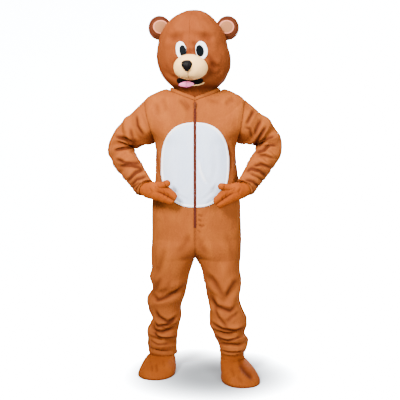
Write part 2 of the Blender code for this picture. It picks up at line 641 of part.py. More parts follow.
def make_collar():
    """Folded stand band sewn to the neck seam, open at the zip."""
    share = ACROSS
    runs = (("left", "front", share[::-1]), ("left", "back", share[1:]),
            ("right", "back", share[::-1][1:]), ("right", "front", share[1:]))
    feet, backs, ups = [], [], []
    for side, face, across in runs:
        row = np.zeros(len(across))
        outer, inner = body(side, face, across, row)
        up = unit(body_smooth(side, face, across, row) - body_smooth(side, face, across, row + 0.1))
        feet.append(outer)
        backs.append(inner)
        ups.append(up)
    feet, backs, ups = (np.concatenate(part) for part in (feet, backs, ups))
    seam = ups * COLLAR_SEAM
    rise = unit(ups * 0.35 + np.array((0.0, 0.0, 1.0)))
    inward = unit(backs - feet)
    flat = unit(inward - rise * np.sum(inward * rise, axis=1, keepdims=True))
    front = ease(-feet[:, 1:2] / 0.09)
    high = COLLAR_BACK_HIGH + (COLLAR_HIGH - COLLAR_BACK_HIGH) * front
    heights = (0.0, 0.5, 1.0)
    outer = np.stack([feet + seam + rise * high * h - flat * COLLAR_ROLL * math.sin(math.pi * h)
                      for h in heights])
    widths = (CLOTH, COLLAR_THICK, COLLAR_THICK * 0.7)
    inner = np.stack([backs + seam if h == 0.0 else outer[i] + flat * widths[i]
                      for i, h in enumerate(heights)])
    wall("collar", outer, inner, CLOTH_COLOUR)


# ---------------------------------------------------------------- mittens
MITTEN_COLUMNS = ("name", "x", "y", "z", "high", "thick", "groove")
MITTENS = {
    "left": columns(MITTEN_COLUMNS, [
        ("wrist_in", -0.288, -0.104, -0.412, 0.033, 0.031, 0.0),
        ("wrist", -0.264, -0.135, -0.447, 0.034, 0.030, 0.0),
        ("heel", -0.236, -0.166, -0.466, 0.039, 0.030, 0.0),
        ("hand_back", -0.206, -0.185, -0.467, 0.046, 0.029, 0.04),
        ("palm", -0.177, -0.191, -0.472, 0.047, 0.026, 0.14),
        ("knuckle", -0.150, -0.194, -0.484, 0.043, 0.024, 0.30),
        ("finger", -0.127, -0.195, -0.498, 0.038, 0.022, 0.34),
        ("finger_end", -0.110, -0.195, -0.509, 0.033, 0.019, 0.30),
        ("tip_low", -0.101, -0.194, -0.515, 0.024, 0.013, 0.2),
        ("tip", -0.098, -0.194, -0.517, 0.0, 0.0, 0.0)]),
    "right": columns(MITTEN_COLUMNS, [
        ("wrist_in", 0.288, -0.104, -0.412, 0.033, 0.031, 0.0),
        ("wrist", 0.263, -0.135, -0.448, 0.034, 0.030, 0.0),
        ("heel", 0.236, -0.166, -0.467, 0.039, 0.030, 0.0),
        ("hand_back", 0.208, -0.185, -0.471, 0.045, 0.029, 0.04),
        ("palm", 0.181, -0.191, -0.480, 0.045, 0.026, 0.14),
        ("knuckle", 0.154, -0.194, -0.497, 0.041, 0.024, 0.30),
        ("finger", 0.130, -0.195, -0.514, 0.036, 0.022, 0.34),
        ("finger_end", 0.113, -0.195, -0.527, 0.032, 0.019, 0.30),
        ("tip_low", 0.104, -0.194, -0.534, 0.023, 0.013, 0.2),
        ("tip", 0.101, -0.194, -0.5365, 0.0, 0.0, 0.0)])}
THUMBS = {
    "left": {"root": (-0.180, -0.196, -0.448), "tip": (-0.121, -0.207, -0.424), "radius": 0.0190},
    "right": {"root": (0.186, -0.196, -0.456), "tip": (0.113, -0.207, -0.441), "radius": 0.0185}}
MITTEN_COLUMNS_ROUND = 14
TIP_INSIDE_ROW = 8.5        # the lining's end, short of the tip
THUMB_COLUMNS = 12
SEAT_GAP = 0.0008           # gap of a piece that is cut to sit on another


def mitten_frame(side, row):
    """Centre, upward axis, front axis and the two half sizes of a mitten's section."""
    shape = MITTENS[side]
    centre = np.stack([along(shape[k], row) for k in ("x", "y", "z")], axis=-1)
    ahead = np.stack([along(shape[k], row + 0.05) for k in ("x", "y", "z")], axis=-1)
    behind = np.stack([along(shape[k], row - 0.05) for k in ("x", "y", "z")], axis=-1)
    heading = unit(ahead - behind)
    front = np.zeros_like(heading)
    front[..., 1] = -1.0
    front = unit(front - heading * np.sum(front * heading, axis=-1, keepdims=True))
    sign = 1.0 if side == "left" else -1.0
    upward = unit(np.cross(front, heading)) * sign * -1.0
    return centre, upward, front, along(shape["high"], row), along(shape["thick"], row)


def mitten_point(side, turn, row, shrink=0.0):
    """Mitten surface: flattened ovals with a valley between the two finger rolls."""
    centre, upward, front, high, thick = mitten_frame(side, row)
    high = np.maximum(high - shrink, 0.0)
    thick = np.maximum(thick - shrink, 0.0)
    groove = along(MITTENS[side]["groove"], row)
    angle = np.radians(turn)
    valley = 1.0 - groove * np.exp(-(np.cos(angle) / 0.28) ** 2)
    return (centre + upward * (high * np.cos(angle))[..., None]
            + front * (thick * np.sin(angle) * valley)[..., None])


def make_mitten(side):
    """Hollow two-roll mitten, open at the wrist inside the cuff."""
    turn, row = np.meshgrid(np.arange(MITTEN_COLUMNS_ROUND) * 360.0 / MITTEN_COLUMNS_ROUND,
                            np.arange(len(MITTENS[side]["x"])).astype(float))
    outer = mitten_point(side, turn, row)
    inner = mitten_point(side, turn, np.minimum(row, TIP_INSIDE_ROW), CLOTH)
    inner[-1] = inner[-1].mean(axis=0)
    wall(f"mitten_{side}", outer, inner, GLOVE_COLOUR, closed=True)


def as_cutter(name, rings):
    """Closed rings of points as a cutter, capped at its first ring and closed at its last."""
    across = rings.shape[1]
    foot = np.repeat(rings[:1].mean(axis=1, keepdims=True), across, axis=1)
    rings = np.concatenate((foot, rings))
    rings[-1] = rings[-1].mean(axis=0)
    faces = [(i * across + j, i * across + (j + 1) % across,
              (i + 1) * across + (j + 1) % across, (i + 1) * across + j)
             for i in range(rings.shape[0] - 1) for j in range(across)]
    cutter = add_piece(name, rings.reshape(-1, 3), faces, CLOTH_COLOUR)
    bpy.data.collections[COLLECTION].objects.unlink(cutter)
    if "cutters" not in bpy.data.collections:
        tools = bpy.data.collections.new("cutters")
        bpy.context.scene.collection.children.link(tools)
    bpy.data.collections["cutters"].objects.link(cutter)
    cutter.hide_render = True
    cutter.display_type = "WIRE"
    return cutter


def cut_away(piece, cutter):
    """Take the cutter's space out of a piece."""
    cut = piece.modifiers.new("seat", "BOOLEAN")
    cut.operation = "DIFFERENCE"
    cut.solver = "EXACT"
    cut.object = cutter


def make_thumb(side):
    """Thumb sewn on the mitten: a hollow stub whose root is cut to the mitten's surface."""
    thumb = THUMBS[side]
    root, tip = np.array(thumb["root"]), np.array(thumb["tip"])
    heading = unit(tip - root)
    upward = unit(np.cross(heading, (0.0, 1.0, 0.0)))
    outward = np.cross(heading, upward)
    angle = np.radians(np.arange(THUMB_COLUMNS) * 360.0 / THUMB_COLUMNS)[:, None]
    spokes = upward * np.cos(angle) + outward * np.sin(angle)
    length = np.linalg.norm(tip - root)
    outer, inner = [], []
    for part, size in ((0.0, 0.92), (0.4, 1.0), (0.7, 0.97), (0.87, 0.80), (0.97, 0.45),
                       (1.0, 0.0)):
        outer.append(root + heading * length * part + spokes * thumb["radius"] * size)
        deep = min(length * part, length - CLOTH * 1.5)
        inner.append(root + heading * deep + spokes * max(thumb["radius"] * size - CLOTH, 0.0))
    piece = wall(f"thumb_{side}", np.stack(outer), np.stack(inner), GLOVE_COLOUR, closed=True)
    turn, row = np.meshgrid(np.arange(MITTEN_COLUMNS_ROUND) * 360.0 / MITTEN_COLUMNS_ROUND,
                            np.arange(len(MITTENS[side]["x"])).astype(float))
    cut_away(piece, as_cutter(f"mitten_cutter_{side}", mitten_point(side, turn, row, -SEAT_GAP)))


# ---------------------------------------------------------------- boot covers and soles
BOOTS = {
    "left": {"heel": (-0.168, 0.102), "toe": (-0.216, -0.222), "ankle": (-0.172, 0.034)},
    "right": {"heel": (0.193, -0.020), "toe": (0.250, -0.340), "ankle": (0.193, -0.079)}}
ANKLE_RADIUS = (0.062, 0.064)
BOOT_HEEL_WIDE = 0.080
BOOT_BALL_WIDE = 0.103
BOOT_TOP = 0.140            # above the floor, up inside the trouser hem
BOOT_DOME = 0.074
SOLE_THICK = 0.004
SOLE_EDGE = 0.985           # share of the outline at which the sole's faces end
BOOT_COLUMNS = 18
SOLE_COLUMNS = 20


def boot_outline(side, turn):
    """Sole outline: an egg, wider at the ball of the foot; turn is 0 at the toe."""
    boot = BOOTS[side]
    heel, toe = np.array(boot["heel"]), np.array(boot["toe"])
    half = np.linalg.norm(toe - heel) / 2
    ahead = unit(toe - heel)
    aside = np.array((-ahead[1], ahead[0]))
    angle = np.radians(turn)
    forward = np.sign(np.cos(angle)) * np.abs(np.cos(angle)) ** 0.92
    wide = BOOT_HEEL_WIDE + (BOOT_BALL_WIDE - BOOT_HEEL_WIDE) * ease(0.5 + 0.62 * forward)
    across = np.sign(np.sin(angle)) * np.abs(np.sin(angle)) ** 0.86
    return ((heel + toe) / 2 + ahead * (half * forward)[..., None]
            + aside * (wide * across)[..., None])


def boot_point(side, turn, level):
    """Boot cover: level 0 to 1 down the ankle, 1 to 2 over the foot to the sole's edge."""
    boot = BOOTS[side]
    heel, toe = np.array(boot["heel"]), np.array(boot["toe"])
    ahead = unit(toe - heel)
    aside = np.array((-ahead[1], ahead[0]))
    angle = np.radians(turn)
    ankle = (np.array(boot["ankle"]) + ahead * (ANKLE_RADIUS[1] * np.cos(angle))[..., None]
             + aside * (ANKLE_RADIUS[0] * np.sin(angle))[..., None])
    over = np.clip(level - 1.0, 0.0, 1.0) * math.pi / 2
    spread = np.sin(over) ** 1.25
    drop = 1.0 - np.maximum(np.cos(over), 0.0) ** 1.15
    top = BOOT_TOP + (BOOT_DOME - BOOT_TOP) * np.clip(level, 0.0, 1.0)
    edge = SOLE_THICK + 2 * SEAM
    z = FLOOR_Z + np.where(level <= 1.0, top, BOOT_DOME + (edge - BOOT_DOME) * drop)
    plan = ankle * (1.0 - spread[..., None]) + boot_outline(side, turn) * spread[..., None]
    return np.concatenate((plan, z[..., None]), axis=-1)


def make_boot(side):
    """Soft boot cover, open at the ankle and under the foot where the sole closes it."""
    levels = np.array([0.0, 1.0, 1.15, 1.3, 1.48, 1.65, 1.83, 2.0])
    turn, level = np.meshgrid(np.arange(BOOT_COLUMNS) * 360.0 / BOOT_COLUMNS, levels)

    def surface(t, v):
        return boot_point(side, t, v)

    out = normals(surface, turn, np.clip(level, 0.02, 1.98), 1.0, 0.02, 1.0)
    outer = surface(turn, level)
    centre = np.array((*BOOTS[side]["ankle"], FLOOR_Z + 0.04))
    sense = np.sign(np.sum((outer - centre) * out, axis=-1).mean())
    inner = outer - out * sense * CLOTH
    inner[-1, :, 2] = outer[-1, :, 2]
    wall(f"boot_{side}", outer, inner, GLOVE_COLOUR, closed=True)


def make_sole(side):
    """Flat sole under the boot cover."""
    count = SOLE_COLUMNS
    plan = boot_outline(side, np.arange(count) * 360.0 / count)
    middle = plan.mean(axis=0)
    rings = []
    for share, height in ((0.0, SOLE_THICK), (SOLE_EDGE, SOLE_THICK), (1.0, SOLE_THICK * 0.5),
                          (SOLE_EDGE, 0.0), (0.0, 0.0)):
        ring = middle + (plan - middle) * share
        rings.append(np.concatenate((ring, np.full((count, 1), FLOOR_Z + height)), axis=1))
    verts = np.concatenate((rings[0][:1], rings[1], rings[2], rings[3], rings[4][:1]))
    faces = []
    top, edge, under = 1, 1 + count, 1 + 2 * count
    for j in range(count):
        k = (j + 1) % count
        faces.append((0, top + j, top + k))
        faces.append((top + j, edge + j, edge + k, top + k))
        faces.append((edge + j, under + j, under + k, edge + k))
        faces.append((under + count, under + k, under + j))
    add_piece(f"sole_{side}", verts, faces, GLOVE_COLOUR)


# ---------------------------------------------------------------- head
HEAD_YAW = math.radians(-5.0)
HEAD = columns(
    ("name", "z", "half", "middle", "front", "back"),
    [("neck", -0.014, 0.096, 0.004, 0.088, 0.074),
     ("neck_high", 0.020, 0.101, 0.004, 0.107, 0.075),
     ("collar", 0.042, 0.108, 0.002, 0.133, 0.0782),
     ("chin", 0.061, 0.129, 0.0015, 0.149, 0.105),
     ("jaw", 0.080, 0.148, 0.001, 0.160, 0.134),
     ("jaw_high", 0.104, 0.165, -0.002, 0.168, 0.151),
     ("cheek", 0.138, 0.181, -0.002, 0.177, 0.167),
     ("cheek_high", 0.175, 0.189, -0.005, 0.183, 0.180),
     ("face", 0.214, 0.189, -0.008, 0.185, 0.188),
     ("eye", 0.252, 0.181, -0.012, 0.181, 0.189),
     ("brow", 0.288, 0.173, -0.012, 0.173, 0.184),
     ("forehead", 0.322, 0.161, -0.012, 0.164, 0.173),
     ("crown_low", 0.358, 0.139, -0.013, 0.145, 0.151),
     ("crown", 0.392, 0.112, -0.013, 0.119, 0.122),
     ("crown_high", 0.414, 0.085, -0.009, 0.091, 0.092),
     ("top_low", 0.431, 0.050, -0.005, 0.053, 0.053),
     ("top_edge", 0.4395, 0.015, -0.003, 0.016, 0.016),
     ("top", 0.4400, 0.0016, -0.003, 0.0016, 0.0016)])
HEAD_TURN = 0.0031          # metres of cloth to a degree
HEAD_FOLDS = [("brow_left", -34, 0.280, -6, 0.298, 0.007, 0.016),
              ("brow_right", 6, 0.298, 36, 0.284, 0.007, 0.016),
              ("cheek_right", 34, 0.150, 52, 0.128, 0.006, 0.014),
              ("cheek_left", -50, 0.118, -36, 0.090, 0.005, 0.014),
              ("nape", 150, 0.070, 205, 0.078, 0.005, 0.018)]
MOUTH_HOLLOW = 0.006
MOUTH_X = -0.014
MOUTH_Z = 0.079
HEAD_COLUMNS = 13           # round each half
CUTTER_COLUMNS = 24


def head_smooth(turn, row):
    """Head without folds: ovals by height; turn is 0 at the face's middle, 90 at the left ear."""
    angle = np.radians(turn)
    half, middle = along(HEAD["half"], row), along(HEAD["middle"], row)
    depth = np.where(np.cos(angle) > 0, along(HEAD["front"], row), along(HEAD["back"], row))
    x = half * np.sin(angle)
    y = -depth * np.cos(angle)
    return np.stack((middle + x * math.cos(HEAD_YAW) - y * math.sin(HEAD_YAW),
                     x * math.sin(HEAD_YAW) + y * math.cos(HEAD_YAW),
                     along(HEAD["z"], row)), axis=-1)


def head(turn, row):
    """Head surface and its outward normals, with the brow dip, creases and mouth hollow."""
    top = len(HEAD["z"]) - 1.0
    out = normals(head_smooth, turn, np.clip(row, 0.03, top - 0.9), 1.0, 0.02, 1.0)
    points = head_smooth(turn, row)
    upright = np.clip((row - (top - 1.0)) / 0.8, 0.0, 1.0)[..., None]
    out = unit(out * (1.0 - upright) + np.array((0.0, 0.0, 1.0)) * upright)
    height = along(HEAD["z"], row)
    push = folds(HEAD_FOLDS, turn, height, HEAD_TURN)
    push = push * ease(np.abs(np.abs(turn) - 180.0) / 12.0) * ease((0.42 - height) / 0.05)
    hollow = np.exp(-((turn * HEAD_TURN - MOUTH_X) / 0.052) ** 4 - ((height - MOUTH_Z) / 0.022) ** 2)
    return points + out * (push - MOUTH_HOLLOW * hollow)[..., None], out


def make_head(side):
    """Half of the foam-backed head cover, from the face's middle seam round to the back's."""
    sign = -1.0 if side == "left" else 1.0
    share, row = np.meshgrid(np.linspace(0.0, 180.0, HEAD_COLUMNS),
                             np.arange(len(HEAD["z"])).astype(float))
    outer, out = head(sign * share, row)
    inner = outer - out * FOAM
    trim(outer, inner, 0, 1)
    trim(outer, inner, -1, -2)
    wall(f"head_{side}", outer, inner, CLOTH_COLOUR)


def face_place(x, z):
    """Turn and row of the head surface at a width and height seen from the front of the face."""
    row = np.interp(z, HEAD["z"], np.arange(len(HEAD["z"])))
    for _ in range(12):
        row = np.clip(row + (z - along(HEAD["z"], row)) / 0.038, 0.0, len(HEAD["z"]) - 1.2)
    return np.degrees(np.arcsin(np.clip(x / along(HEAD["half"], row), -0.98, 0.98))), row


def face(x, z):
    """Head surface and outward normals at face coordinates."""
    return head(*face_place(x, z))


def patch(name, ground, centre, outline, rise, lift, edge, colour, counts=(5, 20),
          power=(2.4, 0.6), roughness=0.9):
    """A domed piece laid on a ground surface: rings from the middle to its outline.

    outline gives the edge's offset from the centre at each angle, rise the dome's height, edge the
    thickness at the rim and lift the gap underneath.
    """
    share, angle = np.meshgrid(np.linspace(0.0, 1.0, counts[0]) ** 0.8,
                               np.arange(counts[1]) * 2 * math.pi / counts[1], indexing="ij")
    wide, high = outline(angle)
    points, out = ground(centre[0] + share * wide, centre[1] + share * high)
    dome = rise * np.maximum(1.0 - share ** power[0], 0.0) ** power[1]
    outer = points + out * (lift + edge + dome)[..., None]
    inner = points + out * lift
    wall(name, outer, inner, colour, closed=True, roughness=roughness)


def oval(half_wide, above, below):
    """Outline of an oval with its own height above and below the centre."""
    def outline(angle):
        high = np.where(np.sin(angle) > 0, above, below)
        return half_wide * np.cos(angle), high * np.sin(angle)
    return outline


MUZZLE_CENTRE = (-0.002, 0.142)
MUZZLE_HALF = 0.077
MUZZLE_ABOVE = 0.059
MUZZLE_BELOW = 0.061
MUZZLE_RISE = 0.074
MUZZLE_LIFT = 0.0044
MUZZLE_EDGE = 0.003
MUZZLE_DOME = (2.3, 0.60)
NOSE_CENTRE = (-0.009, 0.155)
NOSE_HALF = (0.0180, 0.0205)
NOSE_RISE = 0.010
MOUTH_HALF = 0.066
MOUTH_ABOVE = 0.014
MOUTH_BELOW = 0.0245
TONGUE_CENTRE = (-0.030, 0.0605)
TONGUE_HALF = (0.032, 0.0132)
TONGUE_RISE = 0.006
TONGUE_LIFT = 0.0052        # clears the lining behind it


def muzzle_top(x, z):
    """Muzzle surface and outward normals at face coordinates."""
    def surface(a, b):
        points, out = face(a, b)
        high = np.where(b > MUZZLE_CENTRE[1], MUZZLE_ABOVE, MUZZLE_BELOW)
        share = np.hypot((a - MUZZLE_CENTRE[0]) / MUZZLE_HALF, (b - MUZZLE_CENTRE[1]) / high)
        dome = MUZZLE_RISE * np.maximum(1.0 - share ** MUZZLE_DOME[0], 0.0) ** MUZZLE_DOME[1]
        return points + out * (MUZZLE_LIFT + MUZZLE_EDGE + dome)[..., None]
    return surface(x, z), normals(surface, x, z, 0.002, 0.002, 1.0)


def nose_outline(angle):
    """Rounded triangle, point down."""
    size = 1.0 + 0.11 * np.cos(3 * (angle + math.pi / 2))
    return NOSE_HALF[0] * size * np.cos(angle), NOSE_HALF[1] * size * np.sin(angle)


def mouth_outline(angle):
    """Wide smile: nearly flat above, round below."""
    high = np.where(np.sin(angle) > 0, MOUTH_ABOVE, MOUTH_BELOW)
    return MOUTH_HALF * np.cos(angle), high * np.sign(np.sin(angle)) * np.abs(np.sin(angle)) ** 0.8


def tongue_outline(angle):
    """Two lobes side by side, hanging down."""
    lobes = 1.0 + 0.10 * np.cos(2 * angle) + 0.05 * np.cos(4 * angle)
    return TONGUE_HALF[0] * lobes * np.cos(angle), TONGUE_HALF[1] * lobes * np.sin(angle)


def make_lip():
    """Thin lower lip along the mouth's lower right edge."""
    angle = np.radians(np.linspace(-128.0, -18.0, 12))
    wide, high = mouth_outline(angle)
    rings_outer, rings_inner = [], []
    for scale, thick in ((1.03, 0.0008), (1.08, 0.0026), (1.14, 0.0030), (1.19, 0.0008)):
        points, out = face(MOUTH_X + wide * scale, MOUTH_Z + high * scale)
        rings_outer.append(points + out * (SURFACE_LIFT + thick + 0.0004))
        rings_inner.append(points + out * SURFACE_LIFT)
    wall("lower_lip", np.stack(rings_outer), np.stack(rings_inner), CREAM)


EYES = {"left": (-0.043, 0.2205, 0.0262), "right": (0.056, 0.2205, 0.0288)}
PUPILS = {"left": (-0.0340, 0.217, 0.0172), "right": (0.0480, 0.217, 0.0190)}
EYE_HALF_HIGH = 0.0425
EYE_THICK = 0.0012
PUPIL_HALF_HIGH = 0.0280
PUPIL_CLEAR = 0.0005        # over the eye's white
PUPIL_THICK = 0.0008


def make_face():
    """Eyes, mouth, muzzle, nose, lip and tongue, each laid on what carries it."""
    for side in ("left", "right"):
        x, z, half = EYES[side]
        patch(f"eye_white_{side}", face, (x, z), oval(half, EYE_HALF_HIGH, EYE_HALF_HIGH), 0.0, SURFACE_LIFT,
              EYE_THICK, EYE_WHITE, counts=(4, 16), roughness=0.4)
        x, z, half = PUPILS[side]
        patch(f"pupil_{side}", face, (x, z), oval(half, PUPIL_HALF_HIGH, PUPIL_HALF_HIGH), 0.0,
              SURFACE_LIFT + EYE_THICK + PUPIL_CLEAR, PUPIL_THICK, PUPIL, counts=(3, 14),
              roughness=0.25)
    patch("mouth_lining", face, (MOUTH_X, MOUTH_Z), mouth_outline, 0.0, 0.0020, 0.0010, BLACK,
          counts=(4, 16))
    patch("muzzle", face, MUZZLE_CENTRE, oval(MUZZLE_HALF, MUZZLE_ABOVE, MUZZLE_BELOW), MUZZLE_RISE,
          MUZZLE_LIFT, MUZZLE_EDGE, CREAM, counts=(8, 18), power=MUZZLE_DOME)
    patch("nose", muzzle_top, NOSE_CENTRE, nose_outline, NOSE_RISE, 0.0008, 0.0015, BLACK,
          counts=(5, 14), roughness=0.5)
    make_lip()
    patch("tongue", face, TONGUE_CENTRE, tongue_outline, TONGUE_RISE, TONGUE_LIFT, 0.002, PINK,
          counts=(5, 14))


# ---------------------------------------------------------------- ears
EARS = {"left": (-0.181, 0.352, 0.0585, 0.0620), "right": (0.166, 0.352, 0.0590, 0.0620)}
EAR_BACK_Y = 0.012
EAR_HALF_THICK = 0.017
EAR_COLUMNS = 16
EAR_RINGS = 5
INNER_EAR_LEAN = 0.006      # towards the head's middle
INNER_EAR_UP = 0.004
INNER_EAR_WIDE = 0.040
INNER_EAR_HIGH = (0.034, 0.036)


def head_cutter():
    """The head's outer form, a little larger, as a cutter for the ears."""
    turn, row = np.meshgrid(np.arange(CUTTER_COLUMNS) * 360.0 / CUTTER_COLUMNS,
                            np.arange(len(HEAD["z"])).astype(float))
    points, out = head(np.where(turn > 180, turn - 360, turn), row)
    return as_cutter("head_cutter", points + out * SEAT_GAP)


def ear_point(side, share, angle, back):
    """Ear surface: a round pad, share 0 at its middle to 1 at its rim."""
    x0, z0, wide, high = EARS[side]
    bulge = EAR_HALF_THICK * np.sqrt(np.maximum(1.0 - share ** 2.6, 0.0))
    x = x0 + wide * share * np.cos(angle)
    z = z0 + high * share * np.sin(angle)
    y = EAR_BACK_Y + np.where(back, bulge, -bulge)
    return np.stack((x, y, z), axis=-1)


def make_ear(side, cutter):
    """Padded ear and its inner panel, both cut to sit on the head."""
    angle_row = np.arange(EAR_COLUMNS) * 2 * math.pi / EAR_COLUMNS
    share_front, angle = np.meshgrid(np.sin(np.linspace(0, 1, EAR_RINGS) * math.pi / 2), angle_row,
                                     indexing="ij")
    front = ear_point(side, share_front, angle, False)
    rear = ear_point(side, share_front[:-1][::-1], angle[:-1], True)
    rings = np.concatenate((front, rear))
    faces = [(i * EAR_COLUMNS + j, i * EAR_COLUMNS + (j + 1) % EAR_COLUMNS,
              (i + 1) * EAR_COLUMNS + (j + 1) % EAR_COLUMNS, (i + 1) * EAR_COLUMNS + j)
             for i in range(rings.shape[0] - 1) for j in range(EAR_COLUMNS)]
    add_piece(f"ear_{side}", rings.reshape(-1, 3), faces, EAR_COLOUR)
    x0, z0, wide, high = EARS[side]

    def ground(x, z):
        share = np.hypot((x - x0) / wide, (z - z0) / high)
        angle_here = np.arctan2((z - z0) / high, (x - x0) / wide)
        points = ear_point(side, share, angle_here, False)
        out = np.zeros_like(points)
        out[..., 1] = -1.0
        return points, out

    lean = INNER_EAR_LEAN if side == "left" else -INNER_EAR_LEAN
    patch(f"inner_ear_{side}", ground, (x0 + lean, z0 + INNER_EAR_UP),
          oval(INNER_EAR_WIDE, *INNER_EAR_HIGH), 0.0, 0.0014, 0.0012, INNER_EAR_COLOUR,
          counts=(4, 16))
    for name in (f"ear_{side}", f"inner_ear_{side}"):
        cut_away(bpy.data.objects[name], cutter)


def main():
    """Clear the scene and build the costume."""
    for old in list(bpy.data.objects):
        bpy.data.objects.remove(old, do_unlink=True)
    group = bpy.data.collections.new(COLLECTION)
    bpy.context.scene.collection.children.link(group)
    sides = ("left", "right")
    panels = {(side, face_name): make_body(side, face_name)
              for side in sides for face_name in ("front", "back")}
    for side in sides:
        make_sleeve(side, panels[side, "front"], panels[side, "back"])
        make_belly(side)
        make_mitten(side)
        make_thumb(side)
        make_boot(side)
        make_sole(side)
        make_head(side)
    make_collar()
    make_zip()
    make_zip_pull()
    make_face()
    cutter = head_cutter()
    for side in sides:
        make_ear(side, cutter)


main()
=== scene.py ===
"""Looks of a bear mascot costume in its worn shape: velour suit, belly patch, mitts, boots, head.

Metres, +Z up, -Y is the costume's front and x grows towards the wearer's left hand. In the names,
left is the side at lower x and right the side at higher x.
"""
import math
from functools import partial

import bmesh
import bpy
import numpy as np
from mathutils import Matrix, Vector


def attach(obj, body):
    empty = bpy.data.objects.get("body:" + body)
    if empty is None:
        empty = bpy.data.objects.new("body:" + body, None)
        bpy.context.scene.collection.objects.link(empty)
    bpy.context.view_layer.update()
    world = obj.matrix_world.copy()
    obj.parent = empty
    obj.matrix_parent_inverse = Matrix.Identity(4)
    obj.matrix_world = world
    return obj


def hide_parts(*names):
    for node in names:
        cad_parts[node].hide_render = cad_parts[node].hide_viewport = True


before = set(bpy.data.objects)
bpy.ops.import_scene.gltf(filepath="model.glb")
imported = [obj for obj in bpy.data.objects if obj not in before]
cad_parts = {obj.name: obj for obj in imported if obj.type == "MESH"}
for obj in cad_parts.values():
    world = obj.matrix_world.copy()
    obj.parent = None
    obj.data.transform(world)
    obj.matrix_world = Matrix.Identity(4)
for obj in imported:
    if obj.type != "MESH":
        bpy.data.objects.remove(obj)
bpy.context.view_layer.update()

# ---------------------------------------------------------------- camera
# A long lens at chest height, four metres in front of the costume, aimed a little down at it.
EYE = Vector((0.025, -4.0, -0.17))
AIM = Vector((0.025, 0.0, -0.53))
LENS_MM = 69.5
SENSOR_MM = 36.0
view = bpy.data.objects.new("camera", bpy.data.cameras.new("camera"))
bpy.context.scene.collection.objects.link(view)
view.location = EYE
view.rotation_euler = (AIM - EYE).to_track_quat("-Z", "Y").to_euler()
view.data.lens = LENS_MM
view.data.sensor_width = SENSOR_MM
bpy.context.scene.camera = view

# ---------------------------------------------------------------- floor and light
# White studio sweep with two large soft lights in front, one above, one behind out of view, and a
# pale surround.
FLOOR_Z = -1.42
FLOOR_BRIGHT = 30.0         # how far the bare sweep is overexposed
FLOOR_SHADED = 0.28         # the same in the middle of the painted soft shade round the boots
SHADE_MIDDLE = (-0.12, 0.22)    # where the oval of shade is drawn, as the mapping's shift
SHADE_SIZE = (1.45, 1.60)
SWEEP_HALF_WIDE = 14.0
SWEEP_NEAR_Y = -9.0
SWEEP_RISE_Y = 3.0          # where the floor starts to rise
SWEEP_ROUND = 3.0           # radius of the rise
SWEEP_HIGH = 9.0


def material(name, kinds, values, links):
    """Node material: kinds are its nodes, values their sockets' values, links join two sockets.

    A kind is the node's type and may add one property and its value. A socket is written
    "node.Socket"; the nodes shader and end are the material's own shader and output.
    """
    made = bpy.data.materials.new(name)
    made.use_nodes = True
    tree = made.node_tree
    nodes = {"shader": tree.nodes["Principled BSDF"], "end": tree.nodes["Material Output"]}
    for key, text in kinds.items():
        kind, *setting = text.split()
        nodes[key] = tree.nodes.new("ShaderNode" + kind)
        if setting:
            setattr(nodes[key], *setting)

    def socket(text, side):
        """The socket that a text names, on the nodes' side inputs or outputs."""
        key, label = text.split(".")
        return getattr(nodes[key], side)[int(label) if label.isdigit() else label]

    for text, value in values.items():
        socket(text, "inputs").default_value = value
    for text in links:
        start, target = text.split(" > ")
        tree.links.new(socket(start, "outputs"), socket(target, "inputs"))
    return made


def sweep():
    """White floor with a round rise into a wall far behind, a profile carried along x.

    To the camera the floor is overexposed, except for a painted soft oval of shade round the boots.
    """
    turn = np.linspace(0.0, math.pi / 2, 24)
    depth = np.concatenate(([SWEEP_NEAR_Y], SWEEP_RISE_Y + SWEEP_ROUND * np.sin(turn),
                            [SWEEP_RISE_Y + SWEEP_ROUND]))
    height = np.concatenate(([0.0], SWEEP_ROUND - SWEEP_ROUND * np.cos(turn), [SWEEP_HIGH]))
    across = np.array((-SWEEP_HALF_WIDE, SWEEP_HALF_WIDE))
    x, y = np.meshgrid(across, depth, indexing="ij")
    z = np.broadcast_to(FLOOR_Z + height, x.shape)
    verts = np.stack((x, y, z), axis=-1).reshape(-1, 3)
    n = len(depth)
    faces = [(i, i + n, i + n + 1, i + 1) for i in range(n - 1)]
    mesh = bpy.data.meshes.new("studio_sweep")
    mesh.from_pydata(verts.tolist(), [], faces)
    mesh.polygons.foreach_set("use_smooth", [True] * len(faces))
    stage = bpy.data.objects.new("studio_sweep", mesh)
    bpy.context.scene.collection.objects.link(stage)
    # The painted shade: a spherical gradient round the boots dims the floor's colour, with a faint blue
    # tint.
    mesh.materials.append(material("studio_white", {
        "place": "TexCoord", "feet": "Mapping", "fall": "TexGradient gradient_type SPHERICAL",
        "shade": "MapRange interpolation_type SMOOTHSTEP", "power": "Math operation POWER",
        "times": "Math operation MULTIPLY", "tint": "VectorMath operation SCALE",
        "ray": "LightPath", "bright": "Mix data_type RGBA", "matt": "BsdfDiffuse"
    }, {
        "feet.Location": (*SHADE_MIDDLE, -FLOOR_Z), "feet.Scale": (*SHADE_SIZE, 1.0),
        "shade.From Max": 0.90, "power.0": FLOOR_SHADED / FLOOR_BRIGHT, "times.1": FLOOR_BRIGHT,
        "tint.0": (0.93, 1.0, 1.06), "bright.A": (0.42, 0.42, 0.42, 1.0)
    }, ("place.Object > feet.Vector", "feet.Vector > fall.Vector", "fall.Fac > shade.Value",
        "shade.Result > power.1", "power.Value > times.0", "times.Value > tint.Scale",
        "tint.Vector > bright.B", "ray.Is Camera Ray > bright.Factor",
        "bright.Result > matt.Color", "matt.BSDF > end.Surface")))


